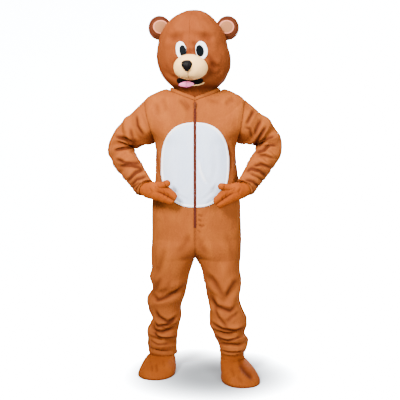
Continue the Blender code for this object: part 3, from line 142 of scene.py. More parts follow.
def soft_box(name, place, aim, size, power, colour, spread):
    """Square area light of the given side, turned from its place to the aim."""
    lamp = bpy.data.objects.new(name, bpy.data.lights.new(name, "AREA"))
    lamp.data.size = size
    lamp.data.energy = power
    lamp.data.color = colour
    lamp.data.spread = math.radians(spread)
    lamp.location = place
    lamp.visible_camera = False
    lamp.rotation_euler = (Vector(aim) - Vector(place)).to_track_quat("-Z", "Y").to_euler()
    bpy.context.scene.collection.objects.link(lamp)


# name, place, aim, side in metres, watts, colour, spread in degrees
LIGHTS = (
    ("front_left_box", (-1.9, -3.3, 1.9), (0.0, 0.0, 0.05), 1.3, 73.0, (1.0, 0.985, 0.96), 58.0),
    ("front_right_box", (2.4, -3.6, 0.7), (0.0, 0.0, -0.1), 1.6, 92.0, (0.98, 0.99, 1.0), 110.0),
    ("top_box", (0.0, -0.9, 3.0), (0.0, 0.0, -0.4), 1.6, 66.0, (1.0, 1.0, 1.0), 120.0),
    ("rear_box", (0.5, 3.0, 0.1), (0.0, 0.0, -0.6), 1.8, 46.0, (1.0, 1.0, 1.0), 90.0))
SURROUND = (0.95, 0.97, 1.0, 1.0)
SURROUND_STRENGTH = 0.40
sweep()
for light in LIGHTS:
    soft_box(*light)
world = bpy.data.worlds.new("pale_surround")
bpy.context.scene.world = world
world.use_nodes = True
world.node_tree.nodes["Background"].inputs["Color"].default_value = SURROUND
world.node_tree.nodes["Background"].inputs["Strength"].default_value = SURROUND_STRENGTH

# ---------------------------------------------------------------- suit: body panels and legs
# Two front and two back panels of short orange-brown velour, sewn at the sides, the shoulders, the
# middle and inside the legs. They are cut loose, so cloth stacks up in folds above the boots.
CLOTH = 0.0022
SEAM = 0.00015              # half the gap between two sewn pieces
MM = 1000.0                 # fold and crease tables are in millimetres and degrees
FOLD_RIDGE = 0.5            # height of a fold's side ridges, as a share of its depth
FOLD_RIDGE_AT = 2.0         # how far out they lie, in widths
CREASE_ROLL = 0.42          # height of a crease's side rolls, as a share of its depth
CREASE_UPPER_ROLL = 0.14    # more on the upper side and less on the lower one
CREASE_ROLL_AT = 1.75       # how far out they lie, in widths
CREASE_ROLL_WIDE = 0.95
CREASE_END = 0.3            # share of a path over which a crease fades out
CREASE_FULL = 6.5           # depth at which a crease's painted shade is at its darkest
# A velour's three colours are its base, the painted shade that its creases are mixed towards, and its pale
# patches.
VELOUR = (0.240, 0.059, 0.0105), (0.056, 0.010, 0.003), (0.37, 0.102, 0.015)


def columns(names, rows):
    """Turn a table's rows into one array per named column; each row starts with its own name."""
    values = np.array([row[1:] for row in rows], dtype=float)
    return {name: values[:, i] for i, name in enumerate(names[1:])}


def along(values, place):
    """Smooth curve through a column's values; place counts rows from the first."""
    count = len(values)
    place = np.clip(place, 0.0, count - 1.0)
    row = np.clip(np.floor(place).astype(int), 0, count - 2)
    part = place - row
    before = values[np.clip(row - 1, 0, count - 1)]
    here = values[row]
    after = values[row + 1]
    beyond = values[np.clip(row + 2, 0, count - 1)]
    slope_here = 0.5 * (after - before)
    slope_after = 0.5 * (beyond - here)
    square = part * part
    cube = square * part
    return ((2 * cube - 3 * square + 1) * here + (cube - 2 * square + part) * slope_here
            + (3 * square - 2 * cube) * after + (cube - square) * slope_after)


def ease(value):
    """Smooth step from 0 to 1."""
    value = np.clip(value, 0.0, 1.0)
    return value * value * (3.0 - 2.0 * value)


def packed(count, share, span=1.0):
    """Places from 0 to span; share draws them towards both ends."""
    bunched = span * (0.5 - 0.5 * np.cos(np.linspace(0.0, math.pi, count)))
    return bunched * share + (1.0 - share) * np.linspace(0.0, span, count)


def unit(vectors):
    """Vectors scaled to length one."""
    length = np.linalg.norm(vectors, axis=-1, keepdims=True)
    return vectors / np.maximum(length, 1e-12)


def folds(rows, turn, reach, metres_per_turn):
    """Sum of soft troughs. A row is a line from (turn, reach) to (turn, reach) with depth and width.

    Each trough is a bell across its line, with a lower ridge on either side of it.
    """
    total = np.zeros(np.broadcast(turn, reach).shape)
    for _, turn_a, reach_a, turn_b, reach_b, depth, width in rows:
        start = np.array((turn_a * metres_per_turn, reach_a / MM))
        line = np.array((turn_b * metres_per_turn, reach_b / MM)) - start
        over = turn * metres_per_turn - start[0]
        up = reach - start[1]
        part = np.clip((over * line[0] + up * line[1]) / (line @ line), 0.0, 1.0)
        away = np.hypot(over - part * line[0], up - part * line[1]) * MM / width
        fade = 0.55 + 0.45 * np.sin(np.pi * part)
        ridge = FOLD_RIDGE * np.exp(-(away - FOLD_RIDGE_AT) ** 2)
        total = total - depth / MM * fade * (np.exp(-away ** 2) - ridge)
    return total


def creases(x, z, rows):
    """Fine creases drawn as paths of (x, z) points seen from the front or from behind.

    Across a path the cloth dips as a bell and rises as a wider, lower bell on either side, more on
    the upper one. A path fades out at both ends. Gives the push along the normal in metres and how
    deep in a crease each point lies, from 0 to about 1, the mask by which most pieces paint shade
    into their creases.
    """
    push = np.zeros(x.shape)
    deep = np.zeros(x.shape)
    for path, depth, width in rows:
        knots = np.array(path, dtype=float).reshape(-1, 2) / MM
        steps = np.linalg.norm(np.diff(knots, axis=0), axis=1)
        start = np.concatenate(([0.0], np.cumsum(steps)))
        nearest = np.full(x.shape, 9.0)
        side = np.zeros(x.shape)
        run = np.zeros(x.shape)
        for i, step in enumerate(steps):
            ahead = (knots[i + 1] - knots[i]) / step
            over, up = x - knots[i, 0], z - knots[i, 1]
            part = np.clip(over * ahead[0] + up * ahead[1], 0.0, step)
            away = np.hypot(over - part * ahead[0], up - part * ahead[1])
            closer = away < nearest
            nearest = np.where(closer, away, nearest)
            side = np.where(closer, np.sign(up * abs(ahead[0]) - over * ahead[1] * np.sign(ahead[0])), side)
            run = np.where(closer, (start[i] + part) / start[-1], run)
        fade = ease(run / CREASE_END + 0.12) * ease((1.0 - run) / CREASE_END + 0.12)
        across = nearest * MM / width
        dip = np.exp(-across ** 2)
        roll = CREASE_ROLL + CREASE_UPPER_ROLL * side
        roll = roll * np.exp(-((across - CREASE_ROLL_AT) / CREASE_ROLL_WIDE) ** 2)
        push += depth / MM * fade * (roll - dip)
        deep += fade * dip * min(depth / CREASE_FULL, 1.0) ** 1.5
    return push, deep


def grid_faces(rows, cols, closed):
    """Quads of a grid of points; closed joins the last column to the first."""
    i, j = np.meshgrid(np.arange(rows - 1), np.arange(cols if closed else cols - 1), indexing="ij")
    k = (j + 1) % cols
    quads = np.stack((i * cols + j, i * cols + k, (i + 1) * cols + k, (i + 1) * cols + j), axis=-1)
    return quads.reshape(-1, 4)


def grid_piece(name, verts, faces, marks):
    """Smooth piece of points and quads turned outward; marks are named values for each point."""
    corner = [verts[faces[:, side]] for side in range(4)]
    spread = np.cross(corner[2] - corner[0], corner[3] - corner[1])
    if np.einsum("ij,ij->i", corner[0] - verts[0], spread).sum() < 0:
        faces = faces[:, ::-1]
    mesh = bpy.data.meshes.new(name)
    mesh.from_pydata(verts.tolist(), [], faces.tolist())
    for mark, values in marks.items():
        mesh.attributes.new(mark, "FLOAT", "POINT").data.foreach_set("value", values.astype(np.float32))
    mesh.polygons.foreach_set("use_smooth", [True] * len(faces))
    return solid_piece(name, mesh)


def wall_mesh(name, outer, inner, closed=False, marks=None):
    """Thin cloth wall: a grid of outer points, the same grid inside, and rims that join them.

    closed joins the last column to the first. A row whose points all meet gets no rim. marks are
    named values for each outer point, which the inner points share.
    """
    rows, cols = outer.shape[:2]
    count = rows * cols
    quads = grid_faces(rows, cols, closed)
    parts = [quads, quads[:, ::-1] + count]
    spans = np.arange(cols if closed else cols - 1)
    after = (spans + 1) % cols
    for row, turned in ((0, False), (rows - 1, True)):
        if np.ptp(outer[row], axis=0).max() > 1e-6:
            a, b = row * cols + spans, row * cols + after
            rim = np.stack((a, a + count, b + count, b), axis=-1)
            parts.append(rim[:, ::-1] if turned else rim)
    if not closed:
        for col, turned in ((0, True), (cols - 1, False)):
            a = np.arange(rows - 1) * cols + col
            rim = np.stack((a, a + count, a + cols + count, a + cols), axis=-1)
            parts.append(rim[:, ::-1] if turned else rim)
    verts = np.concatenate((outer.reshape(-1, 3), inner.reshape(-1, 3)))
    both = {mark: np.tile(values.ravel(), 2) for mark, values in (marks or {}).items()}
    return grid_piece(name, verts, np.concatenate(parts), both)


def solid_piece(name, mesh):
    """Object for a finished mesh, with meeting points merged at seams and poles."""
    shaped = bmesh.new()
    shaped.from_mesh(mesh)
    bmesh.ops.remove_doubles(shaped, verts=shaped.verts, dist=1e-6)
    shaped.to_mesh(mesh)
    shaped.free()
    piece = bpy.data.objects.new(name, mesh)
    bpy.context.scene.collection.objects.link(piece)
    return piece


def normals(surface, first, second, step_first, step_second, flip):
    """Unit normals of a surface function, from small steps either side of each point."""
    along_first = surface(first + step_first, second) - surface(first - step_first, second)
    along_second = surface(first, second + step_second) - surface(first, second - step_second)
    return flip * unit(np.cross(along_first, along_second))


def trim(outer, inner, edge, inside):
    """Draw one edge column of a wall back from its seam, towards the column inside it."""
    back = SEAM * unit(outer[:, inside] - outer[:, edge])
    outer[:, edge] += back
    inner[:, edge] += back


TORSO = columns(
    ("name", "edge_l", "edge_r", "edge_z", "side_y", "front", "front_z", "back", "back_z", "arm",
     "turn", "vee"),
    [("neck", 0.130, 0.130, 0.036, 0.005, 0.120, -0.022, 0.092, 0.034, 0, 90, 1.0),
     ("yoke", 0.152, 0.154, 0.043, 0.006, 0.134, -0.056, 0.110, 0.014, 0, 90, 0.6),
     ("yoke_low", 0.204, 0.203, 0.024, 0.006, 0.144, -0.092, 0.121, -0.020, 0, 90, 0.3),
     ("shoulder", 0.254, 0.250, -0.007, 0.006, 0.150, -0.130, 0.130, -0.058, 0, 90, 0.1),
     ("arm_top", 0.254, 0.249, -0.050, 0.006, 0.154, -0.162, 0.135, -0.098, 22, 90, 0),
     ("arm_mid", 0.243, 0.240, -0.108, 0.005, 0.157, -0.193, 0.137, -0.142, 35, 90, 0),
     ("arm_low", 0.225, 0.228, -0.172, 0.004, 0.158, -0.224, 0.136, -0.192, 33, 90, 0),
     ("armpit", 0.208, 0.215, -0.234, 0.003, 0.159, -0.260, 0.133, -0.246, 0, 90, 0),
     ("chest", 0.204, 0.209, -0.300, 0.002, 0.160, -0.312, 0.129, -0.306, 0, 90, 0),
     ("midriff", 0.204, 0.217, -0.372, 0.001, 0.160, -0.376, 0.126, -0.374, 0, 90, 0),
     ("waist", 0.207, 0.225, -0.435, 0.000, 0.159, -0.436, 0.125, -0.436, 0, 90, 0),
     ("belly", 0.214, 0.230, -0.492, 0.000, 0.157, -0.493, 0.128, -0.493, 0, 90, 0),
     ("hip_high", 0.221, 0.233, -0.550, 0.000, 0.154, -0.551, 0.134, -0.551, 0, 90, 0),
     ("hip", 0.225, 0.237, -0.610, 0.000, 0.151, -0.612, 0.140, -0.612, 0, 90, 0),
     ("seat", 0.225, 0.240, -0.670, 0.000, 0.149, -0.674, 0.143, -0.674, 0, 90, 0),
     ("fork", 0.226, 0.242, -0.722, 0.000, 0.147, -0.728, 0.142, -0.728, 0, 90, 0),
     ("fork_low", 0.228, 0.241, -0.765, 0.000, 0.143, -0.776, 0.137, -0.776, 0, 115, 0),
     ("fork_under", 0.230, 0.240, -0.800, 0.000, 0.138, -0.812, 0.131, -0.812, 0, 146, 0),
     ("crotch", 0.230, 0.238, -0.832, 0.000, 0.132, -0.832, 0.126, -0.832, 0, 180, 0)])
CROTCH_ROW = 18             # the rows count on from here down the legs
HEM_ROW = 29

LEG_COLUMNS = ("name", "outer", "inner", "z", "side_y", "front", "back")
LEG_LEFT = columns(LEG_COLUMNS, [
    ("crotch", 0.230, 0.0003, -0.832, 0.000, 0.132, 0.126),
    ("thigh", 0.228, 0.019, -0.885, 0.002, 0.126, 0.120),
    ("thigh_low", 0.239, 0.034, -0.935, 0.004, 0.118, 0.112),
    ("knee_top", 0.221, 0.045, -0.990, 0.006, 0.108, 0.102),
    ("knee", 0.251, 0.058, -1.045, 0.008, 0.107, 0.098),
    ("knee_low", 0.248, 0.072, -1.092, 0.011, 0.099, 0.098),
    ("calf", 0.231, 0.070, -1.146, 0.015, 0.093, 0.095),
    ("calf_low", 0.232, 0.080, -1.178, 0.018, 0.090, 0.092),
    ("shin", 0.254, 0.088, -1.218, 0.022, 0.095, 0.094),
    ("ankle", 0.253, 0.096, -1.262, 0.026, 0.090, 0.090),
    ("stack", 0.255, 0.098, -1.302, 0.030, 0.091, 0.090),
    ("hem", 0.247, 0.095, -1.3465, 0.034, 0.082, 0.082)])
LEG_RIGHT = columns(LEG_COLUMNS, [
    ("crotch", 0.238, 0.0003, -0.832, 0.000, 0.132, 0.126),
    ("thigh", 0.234, 0.030, -0.885, -0.008, 0.126, 0.118),
    ("thigh_low", 0.242, 0.042, -0.935, -0.016, 0.117, 0.110),
    ("knee_top", 0.241, 0.054, -0.988, -0.024, 0.108, 0.103),
    ("knee", 0.230, 0.066, -1.045, -0.032, 0.104, 0.100),
    ("knee_low", 0.250, 0.073, -1.095, -0.040, 0.101, 0.098),
    ("calf", 0.268, 0.071, -1.140, -0.047, 0.098, 0.097),
    ("calf_low", 0.266, 0.078, -1.180, -0.054, 0.093, 0.094),
    ("shin", 0.256, 0.098, -1.218, -0.061, 0.087, 0.090),
    ("ankle", 0.273, 0.112, -1.248, -0.067, 0.090, 0.092),
    ("stack", 0.270, 0.122, -1.277, -0.073, 0.086, 0.088),
    ("hem", 0.260, 0.126, -1.309, -0.079, 0.082, 0.080)])

SQUARE = 0.10           # how far a body section fills out towards a rectangle
FOLD_TURN = 0.0022      # metres of cloth to a degree
BODY_FOLDS = {
    "left": [
        ("knee_drag", 22, -1032, 160, -984, 12, 21), ("shin_zig", 8, -1150, 62, -1214, 13, 17),
        ("shin_zag", 62, -1214, 150, -1186, 11, 16), ("ankle_fold", 30, -1243, 165, -1272, 14, 13),
        ("hem_fold", 5, -1310, 130, -1320, 6, 10), ("thigh_drape", 62, -800, 28, -960, 6, 24),
        ("knee_back", -25, -1030, -150, -995, 13, 21), ("calf_back", -10, -1150, -100, -1172, 12, 18),
        ("ankle_back", -20, -1236, -155, -1262, 13, 14), ("seat_back", -70, -800, -120, -835, 8, 22),
        ("arm_drag", 2, -272, 18, -372, 6, 16), ("waist_side", 0, -470, 26, -560, 7, 20),
        ("blade_back", -46, -150, -72, -330, 7, 26), ("waist_back", -30, -440, -82, -520, 8, 24)],
    "right": [
        ("knee_drape_a", 170, -985, 92, -1046, 10, 20), ("knee_drape_b", 92, -1046, 45, -965, 9, 20),
        ("knee_drag", 165, -1036, 80, -1092, 10, 18), ("shin_deep", 165, -1200, 12, -1204, 15, 15),
        ("shin_fold", 160, -1243, 18, -1254, 12, 12), ("hem_fold", 150, -1302, 15, -1308, 6, 10),
        ("thigh_drape", 70, -800, 120, -930, 6, 24), ("knee_back", -30, -1040, -150, -1010, 13, 21),
        ("calf_back", -20, -1165, -150, -1195, 13, 17),
        ("ankle_back", -20, -1246, -150, -1252, 11, 13), ("seat_back", -66, -795, -118, -830, 8, 22),
        ("arm_drag", 2, -262, 18, -355, 6, 16), ("waist_side", 2, -450, 24, -545, 7, 20),
        ("blade_back", -44, -140, -74, -300, 7, 26), ("waist_back", -26, -450, -84, -505, 8, 24)]}


def body_smooth(side, face, across, row):
    """Body surface without folds.

    across runs from 0 at the side to 1 at the middle, row down the tables. A section is an arc of
    an oval, from the armhole's angle to the angle at which it meets the middle line.
    """
    half = "edge_l" if side == "left" else "edge_r"
    sign = -1.0 if side == "left" else 1.0
    leg = LEG_LEFT if side == "left" else LEG_RIGHT
    depth = "front" if face == "front" else "back"
    forward = -1.0 if face == "front" else 1.0
    upper = np.minimum(row, CROTCH_ROW)
    lower = np.maximum(row - CROTCH_ROW, 0.0)
    on_leg = row > CROTCH_ROW

    def pick(torso_values, leg_values):
        """Torso column above the crotch, leg column below it."""
        return np.where(on_leg, along(leg_values, lower), along(torso_values, upper))

    edge_x = pick(TORSO[half], leg["outer"])
    middle_x = np.where(on_leg, along(leg["inner"], lower), 2 * SEAM)
    edge_z = pick(TORSO["edge_z"], leg["z"])
    middle_z = pick(TORSO[depth + "_z"], leg["z"])
    side_y = pick(TORSO["side_y"], leg["side_y"])
    deep = pick(TORSO[depth], leg[depth])
    arm = np.radians(np.maximum(along(TORSO["arm"], upper), 0.0)) * ~on_leg
    turn = np.where(on_leg, math.pi, np.radians(np.maximum(along(TORSO["turn"], upper), 90.0)))
    vee = np.maximum(along(TORSO["vee"], upper), 0.0) * ~on_leg
    fill = SQUARE * (1.0 - ease((np.degrees(turn) - 90.0) / 90.0))

    def out(angle):
        """How far a section stands out at an angle, as a share of its half width."""
        return np.cos(angle) * (1.0 + fill * np.sin(angle) ** 2)

    angle = arm + (turn - arm) * across
    share = (out(angle) - out(turn)) / (out(arm) - out(turn))
    x = middle_x + (edge_x - middle_x) * share
    y = side_y + forward * deep * np.sin(angle) * (1.0 + fill * np.cos(angle) ** 2)
    reach = (1.0 - vee) * np.sin(0.5 * math.pi * across) ** 2 + vee * np.abs(across) ** 1.5
    z = edge_z + (middle_z - edge_z) * reach
    return np.stack((sign * x, y, z), axis=-1)


# Creases of the front, each a path of x, z, x, z and so on with a depth and a half width: drag lines
# under the collar and beside the zip's end, the knees' zigzags, and the stacks above the boots.
FRONT_CREASES = {
    "left": [
        ((-84, -9, -55, -39, -27, -78), 4, 13), ((-65, 1, -40, -34, -20, -64), 3, 6),
        ((-204, -24, -189, -68, -184, -108), 3, 12), ((-169, -4, -149, -49, -139, -83), 3, 12),
        ((-191, -357, -176, -397, -171, -438), 4, 6), ((-198, -267, -190, -317, -186, -367), 3, 6),
        ((-25, -680, -46, -737, -86, -793), 3, 14), ((-152, -762, -178, -834, -203, -906), 3, 16),
        ((-237, -1007, -194, -1038, -150, -1023, -93, -999, -52, -965), 8, 10),
        ((-175, -913, -198, -976, -227, -1017), 4, 12), ((-124, -929, -144, -976, -181, -1017), 3, 12),
        ((-212, -1085, -188, -1130, -143, -1156, -83, -1127), 6, 9),
        ((-233, -1143, -194, -1182, -143, -1172, -94, -1138), 7, 8),
        ((-238, -1175, -207, -1206, -169, -1211, -94, -1193), 7, 7),
        ((-233, -1209, -176, -1241, -104, -1248), 7, 7),
        ((-246, -1259, -195, -1280, -120, -1275), 5, 6),
        ((-244, -1301, -189, -1317, -120, -1320), 4, 5),
        ((-181, -1185, -150, -1196, -130, -1190), 3, 4),
        ((-223, -1227, -192, -1254, -166, -1264), 3, 4)],
    "right": [
        ((165, -227, 180, -297, 180, -387), 5, 8), ((205, -257, 210, -317, 205, -382), 3, 6),
        ((154, -49, 174, -24, 204, -9), 3, 12), ((50, 1, 85, -24, 134, -34), 3, 12),
        ((10, -592, 40, -598), 5, 4), ((12, -612, 34, -626), 5, 4),
        ((12, -638, 34, -650, 52, -645), 5, 4), ((12, -668, 30, -684), 4, 4),
        ((10, -691, 30, -747, 66, -803), 3, 14), ((151, -680, 182, -747, 197, -834), 2.5, 16),
        ((50, -896, 101, -941, 152, -1019), 5, 14), ((152, -1019, 183, -964, 218, -923), 5, 14),
        ((61, -993, 107, -1063, 178, -1083, 224, -1058), 6, 11),
        ((97, -1063, 121, -1120, 173, -1177), 5, 8),
        ((71, -1149, 140, -1175, 204, -1188, 261, -1172), 8, 8),
        ((81, -1185, 140, -1203, 220, -1201), 5, 6), ((92, -1219, 166, -1235, 251, -1216), 7, 7),
        ((107, -1259, 179, -1253, 261, -1259), 6, 6), ((122, -1292, 179, -1295, 256, -1292), 5, 5),
        ((138, -1308, 159, -1329), 3, 4), ((210, -1303, 236, -1329), 3, 4),
        ((153, -1146, 189, -1115, 229, -1094), 4, 10)]}

# The back hangs flatter, drawn from the shoulder blades, with folds under the seat and more of the
# same stacks behind the knees and over the heels.
BACK_CREASES = {
    "left": [
        ((-192, -60, -160, -150, -110, -230), 3, 14), ((-200, -240, -165, -330, -150, -430), 4, 10),
        ((-60, -80, -50, -180, -55, -280), 2, 14), ((-205, -430, -140, -470, -60, -480), 4, 10),
        ((-190, -760, -120, -800, -40, -790), 5, 12), ((-50, -840, -110, -900, -200, -930), 4, 12),
        ((-235, -1000, -160, -1030, -60, -1000), 8, 10),
        ((-230, -1060, -150, -1075, -80, -1100), 5, 8), ((-215, -1130, -150, -1160, -85, -1140), 6, 9),
        ((-240, -1190, -170, -1205, -90, -1190), 7, 7),
        ((-235, -1232, -160, -1250, -100, -1238), 6, 7),
        ((-245, -1275, -170, -1290, -105, -1272), 5, 6),
        ((-240, -1308, -175, -1318, -115, -1312), 4, 5)],
    "right": [
        ((190, -50, 150, -140, 120, -240), 3, 14), ((205, -230, 180, -320, 170, -400), 4, 10),
        ((70, -70, 55, -190, 45, -260), 2, 14), ((215, -440, 150, -480, 80, -470), 4, 10),
        ((208, -742, 150, -762, 85, -815), 4, 14), ((85, -870, 140, -890, 175, -960), 3, 14),
        ((232, -1005, 200, -1060, 120, -1050, 70, -985), 5, 11),
        ((240, -1075, 190, -1118, 120, -1122), 6, 10), ((80, -1095, 120, -1160, 175, -1172), 4, 9),
        ((258, -1148, 210, -1186, 140, -1196, 84, -1180), 7, 8),
        ((252, -1205, 190, -1226, 150, -1216), 5, 7), ((262, -1250, 200, -1256, 118, -1238), 6, 6),
        ((205, -1284, 170, -1300, 130, -1296), 4, 5)]}
SEAM_DIP = 0.0016
SEAM_DIP_WIDE = 0.0045
FOLD_FREE_ROWS = 3.0        # rows under the neck seam that large folds leave alone
FOLD_FREE_MIDDLE = 0.03     # metres beside the middle line that they leave alone
CREASE_FREE_ROWS = 1.2      # rows under the neck seam that creases leave alone
CREASE_FREE_EDGE = 0.012    # metres beside a sewn edge that they leave alone
FORK_ROWS = 2.5             # rows above and below the crotch where creases also keep off the middle
PANEL_STEPS = (0.002, 0.02)     # across and down a panel, for its normals


def panel_points(side, face, across, row):
    """Outer and inner points of a panel, and how deep in a crease or a seam each point lies.

    The smooth section is pushed along its normal: first the large folds, then the creases of the
    side that it faces, then a groove along the sewn edges. Rows near the neck seam are held still.
    """
    surface = partial(body_smooth, side, face)
    flip = -1.0 if (side == "left") == (face == "front") else 1.0
    out = normals(surface, across, row, *PANEL_STEPS, flip)
    points = surface(across, row)
    upper = np.minimum(row, CROTCH_ROW)
    on_leg = row > CROTCH_ROW
    turn = np.where(on_leg, 180.0, np.maximum(along(TORSO["turn"], upper), 90.0))
    arm = np.maximum(along(TORSO["arm"], upper), 0.0) * ~on_leg
    degrees = (arm + (turn - arm) * across) * (1.0 if face == "front" else -1.0)
    push = folds(BODY_FOLDS[side], degrees, points[..., 2], FOLD_TURN)
    middle = ease(np.abs(points[..., 0]) / FOLD_FREE_MIDDLE)
    push = push * middle * ease(row / FOLD_FREE_ROWS)
    rows = (FRONT_CREASES if face == "front" else BACK_CREASES)[side]
    fine, deep = creases(points[..., 0], points[..., 2], rows)
    section = np.abs(np.stack(np.broadcast_arrays(across, 1.0 - across)))
    chord = np.abs(surface(np.ones_like(across), row) - surface(0 * across, row)).max(axis=-1)
    from_edge = section.min(axis=0) * (0.36 * chord + 0.05) * 1.6
    groove = np.exp(-(from_edge / SEAM_DIP_WIDE) ** 2)
    hold = ease(row / CREASE_FREE_ROWS) * ease(from_edge / CREASE_FREE_EDGE)
    fork = np.abs(row - CROTCH_ROW) < FORK_ROWS
    hold = hold * np.where(fork, middle, 1.0)
    dip = SEAM_DIP * groove * ease(row / 0.6) * ~(fork & (across > 0.5))
    outer = points + out * (push + fine * hold - dip)[..., None]
    return outer, outer - out * CLOTH, deep * hold, groove


def velour(name, colour, deep_colour, pale_colour, pile=1.0):
    """Short crushed velour: soft patches where the pile lies over, painted shade in the creases, fine pile
    bump.

    Colour = the base, mixed towards the pale one by broad streaked noise and fine flecks, then
    towards the deep one by the crease and seam marks of the mesh. On most pieces the deep colour is
    darker: the crease mark paints shade into creases and hollows, and the seam mark darkens seams.
    Bump = fine noise at 1.5 mm over soft noise at 9 mm over the broad noise at 60 mm. A warm sheen
    brightens the cloth where it turns away.
    """
    return material(name, {
        "place": "TexCoord", "stretch": "Mapping", "broad": "TexNoise", "fleck": "TexNoise",
        "broad_range": "MapRange", "fleck_range": "MapRange", "pale": "Mix data_type RGBA",
        "flecked": "Mix data_type RGBA", "deep": "Mix data_type RGBA", "soft": "TexNoise",
        "crease": "Attribute attribute_name crease", "seam": "Attribute attribute_name seam",
        "both": "Math operation ADD", "shade": "MapRange", "fine": "TexNoise",
        "crush_bump": "Bump", "soft_bump": "Bump", "fine_bump": "Bump"
    }, {
        "stretch.Scale": (1.0, 1.0, 0.45), "broad.Scale": 17.0, "broad.Detail": 3.0,
        "broad.Distortion": 0.7, "broad_range.From Min": 0.42, "broad_range.From Max": 0.72,
        "broad_range.To Max": 0.34, "fleck.Scale": 240.0, "fleck.Detail": 2.0,
        "fleck_range.From Min": 0.35, "fleck_range.From Max": 0.75, "fleck_range.To Max": 0.30,
        "pale.A": (*colour, 1.0), "pale.B": (*pale_colour, 1.0),
        "flecked.B": (*(0.7 * c for c in colour), 1.0), "deep.B": (*deep_colour, 1.0),
        "shade.From Max": 0.85, "shade.To Max": 0.88, "soft.Scale": 110.0, "soft.Detail": 3.0,
        "crush_bump.Strength": 0.55 * pile, "crush_bump.Distance": 0.012,
        "soft_bump.Strength": 0.25 * pile, "soft_bump.Distance": 0.004, "fine.Scale": 650.0,
        "fine.Detail": 2.0, "fine_bump.Strength": 0.35 * pile, "fine_bump.Distance": 0.0012,
        "shader.Roughness": 0.72, "shader.Specular IOR Level": 0.03, "shader.Sheen Weight": 0.06,
        "shader.Sheen Roughness": 0.38, "shader.Sheen Tint": (*pale_colour, 1.0)
    }, ("place.Object > stretch.Vector", "stretch.Vector > broad.Vector",
        "broad.Fac > broad_range.Value", "place.Object > fleck.Vector",
        "fleck.Fac > fleck_range.Value", "broad_range.Result > pale.Factor",
        "pale.Result > flecked.A", "fleck_range.Result > flecked.Factor", "crease.Fac > both.0",
        "seam.Fac > both.1", "both.Value > shade.Value", "flecked.Result > deep.A",
        "shade.Result > deep.Factor", "deep.Result > shader.Base Color",
        "place.Object > soft.Vector", "broad.Fac > crush_bump.Height",
        "crush_bump.Normal > soft_bump.Normal", "soft.Fac > soft_bump.Height",
        "place.Object > fine.Vector", "fine.Fac > fine_bump.Height",
        "soft_bump.Normal > fine_bump.Normal", "fine_bump.Normal > shader.Normal"))


def dress(piece, cloth, slot, *nodes):
    """Give a piece its cloth and its body, and hide the solids that it stands for."""
    piece.data.materials.append(cloth)
    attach(piece, "suit")
    if nodes:
        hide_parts(*nodes)


suit_velour = velour("suit_velour", *VELOUR)
PANEL_ACROSS = packed(53, 0.55)
PANEL_ROWS = np.concatenate((np.linspace(0.0, CROTCH_ROW, 170)[:-1], np.linspace(CROTCH_ROW, HEM_ROW, 150)))
BANDS = ("", "hip_", "thigh_", "shin_", "ankle_")
panels = {}
for side in ("left", "right"):
    for face in ("front", "back"):
        across, row = np.meshgrid(PANEL_ACROSS, PANEL_ROWS)
        outer, inner, deep, groove = panel_points(side, face, across, row)
        trim(outer, inner, 0, 1)
        trim(outer, inner, -1, -2)
        for surface in (outer, inner):
            surface[PANEL_ROWS < CROTCH_ROW, -1, 0] = 0.0
        panels[side, face] = (outer, inner)
        # The crease mark paints shade into each panel's folds and creases; the seam mark darkens its sewn
        # edges.
        panel = wall_mesh(f"{face}_panel_{side}", outer, inner,
                          marks={"crease": deep, "seam": 0.35 * groove})
        dress(panel, suit_velour, "velour", *(f"{face}_{band}{side}" for band in BANDS))


# ---------------------------------------------------------------- sleeves
# Wide sleeves bent at the elbow, hands on the hips. Cloth drags from the shoulder to the bend,
# packs up in rings round the elbow and the forearm, and draws in at the wrist over the mitten.
ARMS = {
    "left": {"shoulder": (-0.236, 0.004, -0.122), "elbow": (-0.420, 0.055, -0.252),
             "wrist": (-0.248, -0.150, -0.462), "bend": 0.080},
    "right": {"shoulder": (0.236, 0.004, -0.122), "elbow": (0.424, 0.055, -0.225),
              "wrist": (0.247, -0.150, -0.462), "bend": 0.085}}
SLEEVE = columns(("name", "down", "wide", "deep"),
                 [("armhole", 0.00, 0.112, 0.095),
                  ("upper", 0.08, 0.092, 0.086),
                  ("above_elbow", 0.15, 0.072, 0.074),
                  ("elbow", 0.22, 0.066, 0.070),
                  ("below_elbow", 0.29, 0.063, 0.066),
                  ("forearm", 0.36, 0.060, 0.060),
                  ("gather", 0.42, 0.057, 0.055),
                  ("cuff", 0.49, 0.053, 0.050)])
SLEEVE_TURN = 0.0011
ARMPIT_LAP = 0.0030         # the sleeve starts outside the panels under the arm
CUFF_SHORT = 0.012          # where the cuff starts to draw in towards the mitten
CUFF_ROW = 1.5              # row of the mitten's table at which it ends
CUFF_CLEAR = 0.0026
ARMHOLE_BLEND = 0.10        # how far down the sleeve the armhole's form fades into the tube
SLEEVE_FOLDS = {
    "left": [
        ("cap", 40, 60, 150, 80, 8, 20), ("crook_a", 60, 120, 180, 175, 10, 16),
        ("crook_b", 55, 235, 180, 205, 10, 15), ("fore_a", 10, 255, 130, 285, 9, 14),
        ("fore_b", 30, 335, 175, 300, 9, 14), ("fore_c", 0, 350, 110, 385, 8, 13),
        ("back_a", 200, 180, 300, 150, 9, 18), ("back_b", 200, 260, 320, 290, 9, 16),
        ("back_c", 220, 370, 340, 350, 8, 14)],
    "right": [
        ("cap", 30, 75, 160, 60, 8, 20), ("crook_a", 40, 150, 180, 170, 11, 16),
        ("crook_b", 70, 225, 180, 210, 10, 15), ("fore_a", 20, 280, 140, 265, 8, 14),
        ("fore_b", 10, 320, 160, 335, 10, 14), ("fore_c", 40, 385, 175, 365, 8, 13),
        ("back_a", 205, 190, 310, 165, 9, 18), ("back_b", 195, 280, 330, 270, 9, 16),
        ("back_c", 230, 360, 330, 385, 8, 14)]}
MITTEN_COLUMNS = ("name", "x", "y", "z", "high", "thick", "groove")
